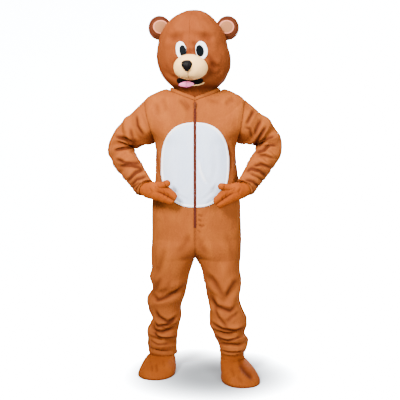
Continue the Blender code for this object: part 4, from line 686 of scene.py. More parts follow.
MITTENS = {
    "left": columns(MITTEN_COLUMNS, [
        ("wrist_in", -0.288, -0.104, -0.412, 0.033, 0.031, 0.0),
        ("wrist", -0.264, -0.135, -0.447, 0.034, 0.030, 0.0),
        ("heel", -0.236, -0.166, -0.466, 0.039, 0.030, 0.0),
        ("hand_back", -0.206, -0.185, -0.467, 0.046, 0.029, 0.04),
        ("palm", -0.177, -0.191, -0.472, 0.047, 0.026, 0.14),
        ("knuckle", -0.150, -0.194, -0.484, 0.043, 0.024, 0.30),
        ("finger", -0.127, -0.195, -0.498, 0.038, 0.022, 0.34),
        ("finger_end", -0.110, -0.195, -0.509, 0.033, 0.019, 0.30),
        ("tip_low", -0.101, -0.194, -0.515, 0.024, 0.013, 0.2),
        ("tip", -0.098, -0.194, -0.517, 0.0, 0.0, 0.0)]),
    "right": columns(MITTEN_COLUMNS, [
        ("wrist_in", 0.288, -0.104, -0.412, 0.033, 0.031, 0.0),
        ("wrist", 0.263, -0.135, -0.448, 0.034, 0.030, 0.0),
        ("heel", 0.236, -0.166, -0.467, 0.039, 0.030, 0.0),
        ("hand_back", 0.208, -0.185, -0.471, 0.045, 0.029, 0.04),
        ("palm", 0.181, -0.191, -0.480, 0.045, 0.026, 0.14),
        ("knuckle", 0.154, -0.194, -0.497, 0.041, 0.024, 0.30),
        ("finger", 0.130, -0.195, -0.514, 0.036, 0.022, 0.34),
        ("finger_end", 0.113, -0.195, -0.527, 0.032, 0.019, 0.30),
        ("tip_low", 0.104, -0.194, -0.534, 0.023, 0.013, 0.2),
        ("tip", 0.101, -0.194, -0.5365, 0.0, 0.0, 0.0)])}
SLEEVE_BANDS = ("", "bend_", "elbow_", "forearm_")
HALF_ROUND = 48             # columns down the front of a sleeve, and as many up its back
ARMHOLE_ROWS = (3.0, 7.0)   # rows of the torso between which the armhole lies
BEHIND_SHIFT = 0.012        # how much higher the creases lie on the sleeve's far side
BEHIND_SHARE = 0.8          # and how deep they are there
GATHERS = 11.0              # round the cuff
GATHER_HIGH = 0.0009
GATHER_LONG = 0.011
SLEEVE_STITCH = 0.0011      # depth of the armhole and cuff seams
ARM_CREASES = {
    "left": [
        ((-301, -82, -292, -147, -255, -205), 5, 9), ((-331, -152, -318, -212, -290, -238), 4.5, 8),
        ((-269, -82, -234, -163, -219, -223), 3.5, 8), ((-417, -198, -356, -213, -296, -246), 7, 9),
        ((-407, -223, -363, -238, -311, -251), 4, 6), ((-423, -272, -377, -264, -301, -251), 6.5, 8),
        ((-413, -312, -345, -333, -263, -335), 5.5, 8), ((-398, -350, -322, -345, -256, -361), 6, 8),
        ((-347, -431, -297, -380, -251, -360), 6.5, 8), ((-328, -454, -289, -412, -232, -393), 5.5, 7),
        ((-334, -471, -297, -443, -272, -423), 4.5, 5), ((-308, -489, -282, -454, -267, -428), 3.5, 5)],
    "right": [
        ((306, -57, 272, -117, 254, -147), 5, 9), ((345, -102, 317, -155, 298, -205), 5, 9),
        ((370, -140, 343, -180, 310, -237, 280, -261), 6, 9),
        ((246, -152, 279, -163, 292, -218), 4.5, 7), ((411, -195, 356, -218, 315, -259), 6.5, 8),
        ((427, -244, 381, -244, 349, -269, 300, -287), 6.5, 8),
        ((412, -315, 356, -297, 310, -294), 4.5, 7), ((398, -363, 331, -339, 280, -350), 5.5, 8),
        ((367, -408, 327, -373, 281, -360, 246, -378), 6.5, 8),
        ((367, -438, 314, -401, 261, -375), 4.5, 6), ((332, -461, 289, -423, 241, -408), 5.5, 7),
        ((302, -484, 277, -454, 257, -418), 3.5, 5)]}


def arm_bend(side):
    """Shoulder, both directions, the bend's radius and angle, and the straight parts of an arm."""
    arm = ARMS[side]
    shoulder, elbow, wrist = (np.array(arm[key]) for key in ("shoulder", "elbow", "wrist"))
    upper, fore = unit(elbow - shoulder), unit(wrist - elbow)
    bend = math.acos(float(np.clip(upper @ fore, -1, 1)))
    cut = arm["bend"] * math.tan(bend / 2)
    straight = np.linalg.norm(elbow - shoulder) - cut
    return shoulder, upper, fore, arm["bend"], bend, straight, np.linalg.norm(wrist - elbow) - cut


def arm_path(side, down):
    """Centre, direction, outward axis and front axis of an arm at a distance down the sleeve."""
    shoulder, upper, fore, radius, bend, straight, _ = arm_bend(side)
    arc = radius * bend
    inward = unit(fore - upper * (fore @ upper))
    front = unit(np.cross(upper, fore)) * (1.0 if side == "left" else -1.0)
    down = np.asarray(down, dtype=float)
    round_part = np.clip(down - straight, 0.0, arc) / radius
    after = np.maximum(down - straight - arc, 0.0)
    sine, cosine = np.sin(round_part)[..., None], np.cos(round_part)[..., None]
    heading = upper * cosine + inward * sine
    outward = upper * sine - inward * cosine
    centre = (shoulder + upper * np.minimum(down, straight)[..., None]
              + radius * (upper * sine + inward * (1.0 - cosine)) + heading * after[..., None])
    return centre, heading, outward, front


def sleeve_length(side):
    """Distance down the arm's centre line from the shoulder to the wrist."""
    *_, radius, bend, above, below = arm_bend(side)
    return above + radius * bend + below


def sleeve_tube(side, turn, down):
    """Sleeve as an oval tube round the arm's path; turn is 0 at the elbow's point, 90 in front."""
    centre, _, outward, front = arm_path(side, down)
    place = np.interp(down, SLEEVE["down"], np.arange(len(SLEEVE["down"])))
    wide, deep = along(SLEEVE["wide"], place), along(SLEEVE["deep"], place)
    angle = np.radians(turn)
    return (centre + outward * (wide * np.cos(angle))[..., None]
            + front * (deep * np.sin(angle))[..., None])


def sleeve(side, armhole_outer, armhole_inner, down):
    """Outer and inner points of a sleeve that starts on the armhole's own points."""
    count = armhole_outer.shape[0]
    turn, reach = np.meshgrid(np.arange(count) * 360.0 / count, down)
    upper = arm_path(side, 0.0)[1]

    blend = ease(reach / ARMHOLE_BLEND)[..., None]
    start = armhole_outer[None] + upper * reach[..., None]
    points = start * (1.0 - blend) + sleeve_tube(side, turn, reach) * blend
    flip = -1.0 if side == "left" else 1.0
    out = normals(partial(sleeve_tube, side), turn, np.maximum(reach, 0.02), 1.0, 0.004, flip)
    push = folds(SLEEVE_FOLDS[side], turn, reach, SLEEVE_TURN)
    push = push * ease((reach - 0.02) / 0.05)
    outer = points + out * push[..., None]
    start = armhole_inner - armhole_outer
    blend = ease(reach / 0.04)[..., None]
    inward = unit(start[None] * (1.0 - blend) - out * CLOTH * blend)
    return outer, outer + inward * CLOTH


def mitten_frame(side, row):
    """Centre, upward axis, front axis and the two half sizes of a mitten's section."""
    shape = MITTENS[side]
    centre = np.stack([along(shape[k], row) for k in ("x", "y", "z")], axis=-1)
    ahead = np.stack([along(shape[k], row + 0.05) for k in ("x", "y", "z")], axis=-1)
    behind = np.stack([along(shape[k], row - 0.05) for k in ("x", "y", "z")], axis=-1)
    heading = unit(ahead - behind)
    front = np.zeros_like(heading)
    front[..., 1] = -1.0
    front = unit(front - heading * np.sum(front * heading, axis=-1, keepdims=True))
    upward = unit(np.cross(front, heading)) * (-1.0 if side == "left" else 1.0)
    return centre, upward, front, along(shape["high"], row), along(shape["thick"], row)


def mitten_point(side, turn, row, shrink=0.0):
    """Mitten surface: flattened ovals with a valley between the two finger rolls."""
    centre, upward, front, high, thick = mitten_frame(side, row)
    high = np.maximum(high - shrink, 0.0)
    thick = np.maximum(thick - shrink, 0.0)
    groove = along(MITTENS[side]["groove"], row)
    angle = np.radians(turn)
    valley = 1.0 - groove * np.exp(-(np.cos(angle) / 0.28) ** 2)
    return (centre + upward * (high * np.cos(angle))[..., None]
            + front * (thick * np.sin(angle) * valley)[..., None])


def cuff_end(side, ring):
    """Outer and inner points of the cuff's gathered end, drawn in round the mitten's wrist."""
    row = np.full(len(ring), CUFF_ROW)
    centre, upward, front, high, thick = mitten_frame(side, row)
    spokes = ring - centre
    turn = np.degrees(np.arctan2(np.sum(spokes * front, axis=-1) / thick,
                                 np.sum(spokes * upward, axis=-1) / high))
    return (mitten_point(side, turn, row, -CUFF_CLEAR - CLOTH),
            mitten_point(side, turn, row, -CUFF_CLEAR))


def grid_normals(grid, inner, closed):
    """Outward unit normals of a grid of points, from the cross product of its two directions."""
    if closed:
        wrapped = np.concatenate((grid[:, -1:], grid, grid[:, :1]), axis=1)
        round_it = wrapped[:, 2:] - wrapped[:, :-2]
    else:
        round_it = np.gradient(grid, axis=1)
    out = unit(np.cross(np.gradient(grid, axis=0), round_it))
    away = np.sign(np.sum(out * (grid - inner), axis=-1, keepdims=True))
    return out * np.where(away == 0.0, 1.0, away)


def fine_armhole(side):
    """Armhole ring of one side, down the front panel's edge and up the back one's, as two walls.

    Each ring point is the panel's own point at the armhole; the top and the pit lie midway between
    the two panels. beyond points away from the panel, along the cloth.
    """
    rows = np.linspace(*ARMHOLE_ROWS, HALF_ROUND + 1)
    front = panel_points(side, "front", np.zeros_like(rows), rows)
    back = panel_points(side, "back", np.zeros_like(rows), rows)
    front_in = panel_points(side, "front", np.full_like(rows, 0.12), rows)
    back_in = panel_points(side, "back", np.full_like(rows, 0.12), rows)
    rings = []
    for k in (0, 1):
        top = 0.5 * (front[k][:1] + back[k][:1])
        pit = 0.5 * (front[k][-1:] + back[k][-1:])
        rings.append(np.concatenate((top, front[k][1:-1], pit, back[k][1:-1][::-1])))
    still = np.zeros((1, 3))
    beyond = np.concatenate((still, (front[0] - front_in[0])[1:-1], still,
                             (back[0] - back_in[0])[1:-1][::-1]))
    return rings, beyond


def fine_sleeve(side):
    """Sleeve wall from the armhole to the gathered wrist, and its crease and seam marks.

    The tube of the arm is pushed along its normal by the creases of the side that faces the front;
    the side behind takes the other arm's creases, mirrored and a little higher.
    """
    (ring_outer, ring_inner), beyond = fine_armhole(side)
    sign = -1.0 if side == "left" else 1.0
    sideways = np.array((sign, 0.0, 0.0))
    from_pit = np.abs(np.arange(2 * HALF_ROUND) - float(HALF_ROUND)) * 8.0 / HALF_ROUND
    lap = ARMPIT_LAP * np.exp(-(from_pit / 1.1) ** 2)
    step = 4 * SEAM * unit(beyond + 0.6 * sideways) + lap[:, None] * sideways
    length = sleeve_length(side) - CUFF_SHORT
    down = np.concatenate((np.linspace(0.0, 0.06, 18)[:-1], np.linspace(0.06, length, 120)))
    outer, inner = sleeve(side, ring_outer + step, ring_inner + step, down)
    end_outer, end_inner = cuff_end(side, outer[-1])
    part = np.linspace(0.0, 1.0, 12)[1:, None, None]
    outer = np.concatenate((outer, outer[-1:] * (1.0 - part) + end_outer * part))
    inner = np.concatenate((inner, inner[-1:] * (1.0 - part) + end_inner * part))
    reach = np.concatenate((down, length + CUFF_SHORT * part[:, 0, 0]))[:, None]
    out = grid_normals(outer, inner, True)
    front, deep_front = creases(outer[..., 0], outer[..., 2], ARM_CREASES[side])
    other = "right" if side == "left" else "left"
    rear, deep_rear = creases(-outer[..., 0], outer[..., 2] - BEHIND_SHIFT, ARM_CREASES[other])
    facing = ease(0.5 - out[..., 1] / 0.7)
    hold = ease(reach / 0.03) * ease((length + CUFF_SHORT - 0.004 - reach) / 0.012)
    turn = np.arange(2 * HALF_ROUND) * math.pi / HALF_ROUND
    gathers = np.sin(GATHERS * turn + 0.8 * np.sin(3.0 * turn))
    gathers = gathers * np.exp(-((reach - length) / GATHER_LONG) ** 2)
    stitched = np.exp(-(reach / 0.005) ** 2) + np.exp(-((reach - length - 0.004) / 0.0025) ** 2)
    behind = BEHIND_SHARE * (1.0 - facing)
    push = (front * facing + rear * behind) * hold + GATHER_HIGH * gathers
    push = push - SLEEVE_STITCH * stitched * ease(reach / 0.002)
    deep = (deep_front * facing + deep_rear * behind) * hold
    shift = out * push[..., None]
    # The crease mark paints shade into the creases and into the hollows of the cuff's gathers; the seam
    # mark darkens the armhole and cuff seams.
    marks = {"crease": 1.3 * deep + 0.25 * np.maximum(-gathers, 0.0),
             "seam": np.broadcast_to(0.45 * stitched, deep.shape)}
    return outer + shift, inner + shift, marks


for side in ("left", "right"):
    outer, inner, marks = fine_sleeve(side)
    arm = wall_mesh(f"sleeve_cloth_{side}", outer, inner, closed=True, marks=marks)
    dress(arm, suit_velour, "velour", *(f"sleeve_{band}{side}" for band in SLEEVE_BANDS))

# ---------------------------------------------------------------- mittens and thumbs
# Soft two-roll mittens of a redder velour, a stitched valley between the rolls, and a stub thumb
# that is sewn on the back of the hand. The thumb's root is cut to the mitten's surface.
THUMBS = {
    "left": {"root": (-0.180, -0.196, -0.448), "tip": (-0.121, -0.207, -0.424), "radius": 0.0190},
    "right": {"root": (0.186, -0.196, -0.456), "tip": (0.113, -0.207, -0.441), "radius": 0.0185}}
SEAT_GAP = 0.0008           # gap of a piece that is cut to sit on another
GLOVE = (0.235, 0.045, 0.0045), (0.045, 0.006, 0.002), (0.38, 0.086, 0.008)
MITTEN_TURNS = np.arange(96) * 3.75
MITTEN_END = 9.0            # last row of the mitten's table
VALLEY_STITCH = 0.0013      # depth of the line between the finger rolls
RIM_STITCH = 0.0010         # depth of the seam round the hand's edge
THUMB_CROOK = 0.0016
THUMB_PARTS = (0.0, 0.4, 0.7)   # places along the thumb, and its size there
THUMB_SIZES = (0.92, 1.0, 0.97)
KNUCKLE_CREASES = {
    "left": [
        ((-158, -455, -150, -478, -153, -500), 2.2, 4), ((-140, -470, -131, -488, -134, -510), 2, 3.6),
        ((-196, -440, -188, -462), 2.2, 4.5), ((-226, -446, -214, -470, -219, -492), 2.6, 5)],
    "right": [
        ((160, -466, 153, -490, 157, -513), 2.2, 4), ((144, -483, 136, -503, 139, -524), 2, 3.6),
        ((198, -446, 190, -470), 2.2, 4.5), ((228, -447, 216, -472, 221, -494), 2.6, 5)]}
glove_velour = velour("glove_velour", *GLOVE, 0.8)


def fine_mitten(side):
    """Mitten wall: the flattened oval of each row, then a narrow stitched line in the valley.

    The line is a bell round the quarter turns; knuckle creases follow by (x, z).
    """
    turn, row = np.meshgrid(MITTEN_TURNS, np.linspace(0.0, MITTEN_END, 100))
    outer = mitten_point(side, turn, row)
    inner = mitten_point(side, turn, np.minimum(row, 8.5), CLOTH)
    inner[-1] = inner[-1].mean(axis=0)
    push, deep = creases(outer[..., 0], outer[..., 2], KNUCKLE_CREASES[side])
    line = np.exp(-(np.cos(np.radians(turn)) / 0.075) ** 2) * ease((row - 3.2) / 1.2)
    edge = np.exp(-(np.sin(np.radians(turn)) / 0.06) ** 2) * ease((row - 1.6) / 0.6)
    hold = ease((8.6 - row) / 0.8) * ease((row - 1.8) / 0.5)
    out = grid_normals(outer, inner, True)
    move = out * ((push - VALLEY_STITCH * line - RIM_STITCH * edge) * hold)[..., None]
    # The crease mark paints shade into the knuckle creases; the seam mark darkens the stitched valley and
    # the rim seam.
    marks = {"crease": deep * hold, "seam": (0.9 * line + 0.5 * edge) * hold}
    return outer + move, inner + move, marks


def seated(piece, rings):
    """Cut a closed form of rings out of a piece, so that it sits on that form."""
    ends = [np.broadcast_to(ring.mean(axis=0), ring.shape)[None] for ring in (rings[0], rings[-1])]
    rings = np.concatenate((ends[0], rings, ends[1]))
    mesh = bpy.data.meshes.new("seat_form")
    mesh.from_pydata(rings.reshape(-1, 3).tolist(), [], grid_faces(*rings.shape[:2], True).tolist())
    form = solid_piece("seat_form", mesh)
    shaped = bmesh.new()
    shaped.from_mesh(mesh)
    bmesh.ops.recalc_face_normals(shaped, faces=shaped.faces)
    shaped.to_mesh(mesh)
    shaped.free()
    cut = piece.modifiers.new("seat", "BOOLEAN")
    cut.operation = "DIFFERENCE"
    cut.solver = "EXACT"
    cut.object = form
    bpy.context.view_layer.update()
    done = bpy.data.meshes.new_from_object(piece.evaluated_get(bpy.context.evaluated_depsgraph_get()))
    piece.modifiers.clear()
    piece.data = done
    done.name = piece.name
    bpy.data.objects.remove(form, do_unlink=True)
    return piece


def fine_thumb(side):
    """Thumb wall: a round stub from root to tip, fullest at two fifths of its length."""
    thumb = THUMBS[side]
    root, tip = np.array(thumb["root"]), np.array(thumb["tip"])
    heading = unit(tip - root)
    upward = unit(np.cross(heading, (0.0, 1.0, 0.0)))
    outward = np.cross(heading, upward)
    angle = np.arange(48) * math.pi / 24
    spokes = upward * np.cos(angle)[:, None] + outward * np.sin(angle)[:, None]
    length = np.linalg.norm(tip - root)
    part = np.sin(np.linspace(0.0, math.pi / 2, 40))
    size = np.interp(part, THUMB_PARTS, THUMB_SIZES)
    end = np.clip((part - THUMB_PARTS[-1]) / 0.3, 0.0, 1.0)
    size = np.where(part > THUMB_PARTS[-1], THUMB_SIZES[-1] * np.sqrt(1.0 - end ** 2.2), size)
    middle = root + heading * (length * part)[:, None]
    outer = middle[:, None] + spokes * (thumb["radius"] * size)[:, None, None]
    deep = np.minimum(length * part, length - CLOTH * 1.5)
    inner = (root + heading * deep[:, None])[:, None] + spokes * np.maximum(
        thumb["radius"] * size - CLOTH, 0.0)[:, None, None]
    crook = np.exp(-((part - 0.62) / 0.035) ** 2)[:, None] * np.maximum(-spokes[:, 1], 0.0)
    move = spokes * (-THUMB_CROOK * crook)[..., None]
    # The crease mark paints shade into the bend of the thumb.
    return outer + move, inner + move, {"crease": 0.6 * crook, "seam": 0.0 * crook}


for side in ("left", "right"):
    outer, inner, marks = fine_mitten(side)
    mitten = wall_mesh(f"mitten_cloth_{side}", outer, inner, closed=True, marks=marks)
    dress(mitten, glove_velour, "glove_velour", f"mitten_{side}")
    stub_outer, stub_inner, stub_marks = fine_thumb(side)
    thumb = wall_mesh(f"thumb_cloth_{side}", stub_outer, stub_inner, closed=True, marks=stub_marks)
    seated(thumb, outer + grid_normals(outer, inner, True) * SEAT_GAP)
    dress(thumb, glove_velour, "glove_velour", f"thumb_{side}")

# ---------------------------------------------------------------- boot covers and soles
# Slipper-like covers of the glove velour, pulled over the shoe and under the trouser hem, puckered
# round the toe where the top is sewn to a flat felt sole. Covers and soles take the glove velour
# drawn darker: painted shade for the dimmer light near the floor.
BOOTS = {
    "left": {"heel": (-0.168, 0.102), "toe": (-0.216, -0.222), "ankle": (-0.172, 0.034)},
    "right": {"heel": (0.193, -0.020), "toe": (0.250, -0.340), "ankle": (0.193, -0.079)}}
ANKLE_RADIUS = (0.062, 0.064)
BOOT_HEEL_WIDE = 0.080
BOOT_BALL_WIDE = 0.103
BOOT_TOP = 0.140            # above the floor, up inside the trouser hem
BOOT_DOME = 0.074
SOLE_THICK = 0.004
# The glove velour drawn darker for the boots and soles: painted shade.
BOOT_SHADED = (0.205, 0.044, 0.005), (0.055, 0.009, 0.002), (0.30, 0.075, 0.009)
BOOT_TURNS = np.arange(120) * 3.0
PUCKERS = 46.0              # round the sole seam
PUCKER_HIGH = 0.0007
BOOT_SOFT = 0.0016          # height of the cover's slow waves
BOOT_CREASES = {
    "left": [
        ((-225, -1365, -213, -1386), 3.5, 6), ((-203, -1360, -188, -1386), 3.5, 6),
        ((-245, -1342, -225, -1368), 2, 6), ((-170, -1352, -150, -1372), 2.2, 7)],
    "right": [
        ((215, -1339, 244, -1361, 291, -1389), 6, 10), ((178, -1352, 196, -1380), 2.8, 7),
        ((205, -1372, 236, -1396), 3, 7)]}


def boot_axes(side):
    """Heel and toe of a boot on the floor, and its directions ahead and aside."""
    heel, toe = (np.array(BOOTS[side][end]) for end in ("heel", "toe"))
    ahead = unit(toe - heel)
    return heel, toe, ahead, np.array((-ahead[1], ahead[0]))


def boot_outline(side, turn):
    """Sole outline: an egg, wider at the ball of the foot; turn is 0 at the toe."""
    heel, toe, ahead, aside = boot_axes(side)
    half = np.linalg.norm(toe - heel) / 2
    angle = np.radians(turn)
    forward = np.sign(np.cos(angle)) * np.abs(np.cos(angle)) ** 0.92
    wide = BOOT_HEEL_WIDE + (BOOT_BALL_WIDE - BOOT_HEEL_WIDE) * ease(0.5 + 0.62 * forward)
    across = np.sign(np.sin(angle)) * np.abs(np.sin(angle)) ** 0.86
    return ((heel + toe) / 2 + ahead * (half * forward)[..., None]
            + aside * (wide * across)[..., None])


def boot_point(side, turn, level):
    """Boot cover: level 0 to 1 down the ankle, 1 to 2 over the foot to the sole's edge."""
    _, _, ahead, aside = boot_axes(side)
    angle = np.radians(turn)
    ankle = (np.array(BOOTS[side]["ankle"]) + ahead * (ANKLE_RADIUS[1] * np.cos(angle))[..., None]
             + aside * (ANKLE_RADIUS[0] * np.sin(angle))[..., None])
    over = np.clip(level - 1.0, 0.0, 1.0) * math.pi / 2
    spread = np.sin(over) ** 1.25
    drop = 1.0 - np.maximum(np.cos(over), 0.0) ** 1.15
    top = BOOT_TOP + (BOOT_DOME - BOOT_TOP) * np.clip(level, 0.0, 1.0)
    edge = SOLE_THICK + 2 * SEAM
    z = FLOOR_Z + np.where(level <= 1.0, top, BOOT_DOME + (edge - BOOT_DOME) * drop)
    plan = ankle * (1.0 - spread[..., None]) + boot_outline(side, turn) * spread[..., None]
    return np.concatenate((plan, z[..., None]), axis=-1)


def fine_boot(side):
    """Boot cover wall: ankle ring, dome over the foot, and the turn down to the sole's edge.

    Puckers are short waves along the sole seam, strongest at the toe.
    """
    turn, level = np.meshgrid(BOOT_TURNS, np.concatenate((
        np.linspace(0.0, 1.0, 18)[:-1], np.linspace(1.0, 2.0, 76))))
    surface = partial(boot_point, side)
    out = normals(surface, turn, np.clip(level, 0.02, 1.98), 1.0, 0.02, 1.0)
    outer = surface(turn, level)
    centre = np.array((*BOOTS[side]["ankle"], FLOOR_Z + 0.04))
    out = out * np.sign(np.sum((outer - centre) * out, axis=-1).mean())
    push, deep = creases(outer[..., 0], outer[..., 2], BOOT_CREASES[side])
    facing = ease(0.5 - out[..., 1] / 0.6)
    angle = np.radians(turn)
    toe = 0.5 + 0.5 * np.cos(angle)
    wave = np.sin(angle * PUCKERS + 2.0 * np.sin(angle * 5.0))
    rim = np.exp(-((level - 1.93) / 0.05) ** 2) * (0.25 + 0.75 * toe)
    hold = ease((1.97 - level) / 0.06)
    soft = BOOT_SOFT * np.sin(angle * 3.0 + level * 5.0) * ease((level - 1.05) / 0.3)
    outer = outer + out * ((push * facing + soft + PUCKER_HIGH * wave * rim) * hold)[..., None]
    inner = outer - out * CLOTH
    inner[-1, :, 2] = outer[-1, :, 2]
    # The crease mark paints shade into the creases and the hollows between the puckers; the seam mark
    # darkens the sole seam.
    return outer, inner, {"crease": (deep * facing + 0.5 * rim * np.maximum(-wave, 0.0)) * hold,
                          "seam": 0.8 * np.exp(-((level - 1.975) / 0.018) ** 2)}


def fine_sole(side):
    """Flat sole: rings at shares of the egg outline, its edge rounded, closed both sides."""
    plan = boot_outline(side, BOOT_TURNS)
    middle = plan.mean(axis=0)
    angle = np.linspace(math.pi / 2, -math.pi / 2, 9)
    share = np.concatenate(([0.0, 0.5], 0.985 + 0.015 * np.cos(angle), [0.5, 0.0]))
    height = np.concatenate(([1.0, 1.0], 0.5 + 0.5 * np.sin(angle), [0.0, 0.0])) * SOLE_THICK
    flat = middle + (plan[None] - middle) * share[:, None, None]
    level = np.broadcast_to((FLOOR_Z + height)[:, None, None], flat.shape[:2] + (1,))
    return np.concatenate((flat, level), axis=-1)


def skin_mesh(name, grid, marks):
    """Closed skin: rings of points whose first and last ring each meet in one point."""
    shape = grid.shape[:2]
    marks = {mark: np.broadcast_to(values, shape).ravel() for mark, values in marks.items()}
    return grid_piece(name, grid.reshape(-1, 3), grid_faces(*shape, True), marks)


boot_velour = velour("boot_velour", *BOOT_SHADED, 0.8)
for side in ("left", "right"):
    outer, inner, marks = fine_boot(side)
    boot = wall_mesh(f"boot_cover_{side}", outer, inner, closed=True, marks=marks)
    dress(boot, boot_velour, "glove_velour", f"boot_{side}")
    sole = skin_mesh(f"sole_felt_{side}", fine_sole(side), {"crease": 0.0, "seam": 0.4})
    dress(sole, boot_velour, "glove_velour", f"sole_{side}")

# ---------------------------------------------------------------- collar
# Low stand band of the suit's velour, folded over at its top and sewn to the neck seam. It is open
# at the zip and sinks a little behind, where the head presses on it.
COLLAR_HIGH = 0.019         # at the front; lower under the jaw and behind
COLLAR_BACK_HIGH = 0.0164
COLLAR_THICK = 0.0036
COLLAR_ROLL = 0.0022        # how far the band's middle stands out
COLLAR_SEAM = 0.0005        # from the panels
COLLAR_RIPPLE = 0.0006
COLLAR_FOLD = 0.0012        # how far its top turns in


def fine_collar():
    """Band wall from the left front edge round the neck to the right one.

    Each column starts at the panel's own top edge and rises along it. Across the height it bulges
    as half a sine, and its top turns in with a round fold.
    """
    share = np.linspace(0.0, 1.0, 56)
    feet, backs, ups = [], [], []
    for side, face, across in (("left", "front", share[::-1]), ("left", "back", share[1:]),
                               ("right", "back", share[::-1][1:]), ("right", "front", share[1:])):
        row = np.zeros(len(across))
        outer, inner = panel_points(side, face, across, row)[:2]
        below = body_smooth(side, face, across, row + 0.1)
        feet.append(outer)
        backs.append(inner)
        ups.append(unit(body_smooth(side, face, across, row) - below))
    feet, backs, ups = (np.concatenate(part) for part in (feet, backs, ups))
    rise = unit(ups * 0.35 + np.array((0.0, 0.0, 1.0)))
    inward = unit(backs - feet)
    flat = unit(inward - rise * np.sum(inward * rise, axis=1, keepdims=True))
    high = COLLAR_BACK_HIGH + (COLLAR_HIGH - COLLAR_BACK_HIGH) * ease(-feet[:, 1:2] / 0.09)
    level = np.linspace(0.0, 1.0, 15)
    run = np.linspace(0.0, 1.0, len(feet))
    ripple = COLLAR_RIPPLE * np.sin(run * 61.0 + 2.0 * np.sin(run * 17.0))[:, None]
    outer = np.stack([feet + ups * COLLAR_SEAM + rise * high * h
                      - flat * (COLLAR_ROLL + ripple) * math.sin(math.pi * h)
                      + flat * COLLAR_FOLD * max(h - 0.86, 0.0) / 0.14 for h in level])
    width = np.interp(level, (0.0, 0.3, 0.85, 1.0),
                      (CLOTH, COLLAR_THICK, COLLAR_THICK, 0.5 * COLLAR_THICK))
    inner = outer + flat[None] * width[:, None, None]
    inner[0] = backs + ups * COLLAR_SEAM
    foot = np.exp(-(level / 0.10) ** 2)[:, None] + 0.6 * np.exp(-((level - 0.80) / 0.05) ** 2)[:, None]
    seam = np.broadcast_to(foot, outer.shape[:2])
    return outer, inner, {"crease": 0.0 * seam, "seam": 0.7 * seam}


outer, inner, marks = fine_collar()
collar = wall_mesh("collar_band", outer, inner, marks=marks)
dress(collar, suit_velour, "velour", "collar")

def front_place(side, x, z):
    """The across and row at which a front panel passes through a given width and height."""
    across = np.clip(1.0 - np.abs(x) / 0.24, 0.0, 1.0)
    row = np.interp(-z, -TORSO["front_z"], np.arange(len(TORSO["front_z"])))
    for _ in range(30):
        point = body_smooth(side, "front", across, row)
        across = np.clip(across + (np.abs(point[..., 0]) - np.abs(x)) / 0.45, 0.0, 1.0)
        row = np.clip(row + (point[..., 2] - z) / 0.075, 0.0, CROTCH_ROW - 0.1)
    return across, row


# ---------------------------------------------------------------- belly patch
# White velour oval in two halves, one each side of the zip, turned under and topstitched so that
# its edge stands up as a soft roll about 8 mm wide.
BELLY_MIDDLE_Z = -0.342
BELLY_HALF_WIDE = 0.169
BELLY_HALF_HIGH = 0.211
BELLY_CORNER = 2.5          # exponent of the patch's squarish oval
BELLY_THICK = 0.0016
BELLY_FROM_ZIP = 0.0008     # gap beside the zip's tape
ZIP_HALF_WIDE = 0.0062
BELLY_LIES = 0.0016         # over the suit's front
BELLY_UNDER = 0.0012        # most that its inner side sinks towards the front
BELLY_ROLL = 0.0016         # height of the turned edge
BELLY_ROLL_AT = 0.0045      # how far in from the rim it is highest
BELLY_STITCH = 0.0007       # depth of the topstitching inside it
BELLY_STITCH_AT = 0.0098
BELLY_BESIDE = 0.0006       # depth of the edge along the zip
# Base, the whiter colour that the seam mark mixes in (partly painted highlight on the rim and the folds)
# and pale patches.
BELLY_WHITE = (0.64, 0.735, 0.93), (1.0, 0.96, 0.96), (0.86, 0.92, 0.99)
BELLY_FOLDS = [
    ((13, -300, 26, -370, 58, -440), 7, 8), ((-30, -205, -22, -290, -30, -360), 1.2, 14),
    ((-84, -192, -89, -316, -95, -441), 1.5, 12), ((94, -217, 104, -341, 90, -441), 1.5, 12),
    ((120, -420, 85, -480, 30, -520), 1.6, 9), ((-128, -430, -90, -490, -35, -522), 1.6, 9)]
belly_velour = velour("belly_velour", *BELLY_WHITE, 0.55)


def lay_on_front(side, x, z, lift, thickness):
    """Outer and inner points of a piece on the front panel, its creases included."""
    across, row = front_place(side, x, z)
    outer, inner = panel_points(side, "front", across, row)[:2]
    out = unit(outer - inner)
    return outer + out * (lift + thickness), outer + out * lift


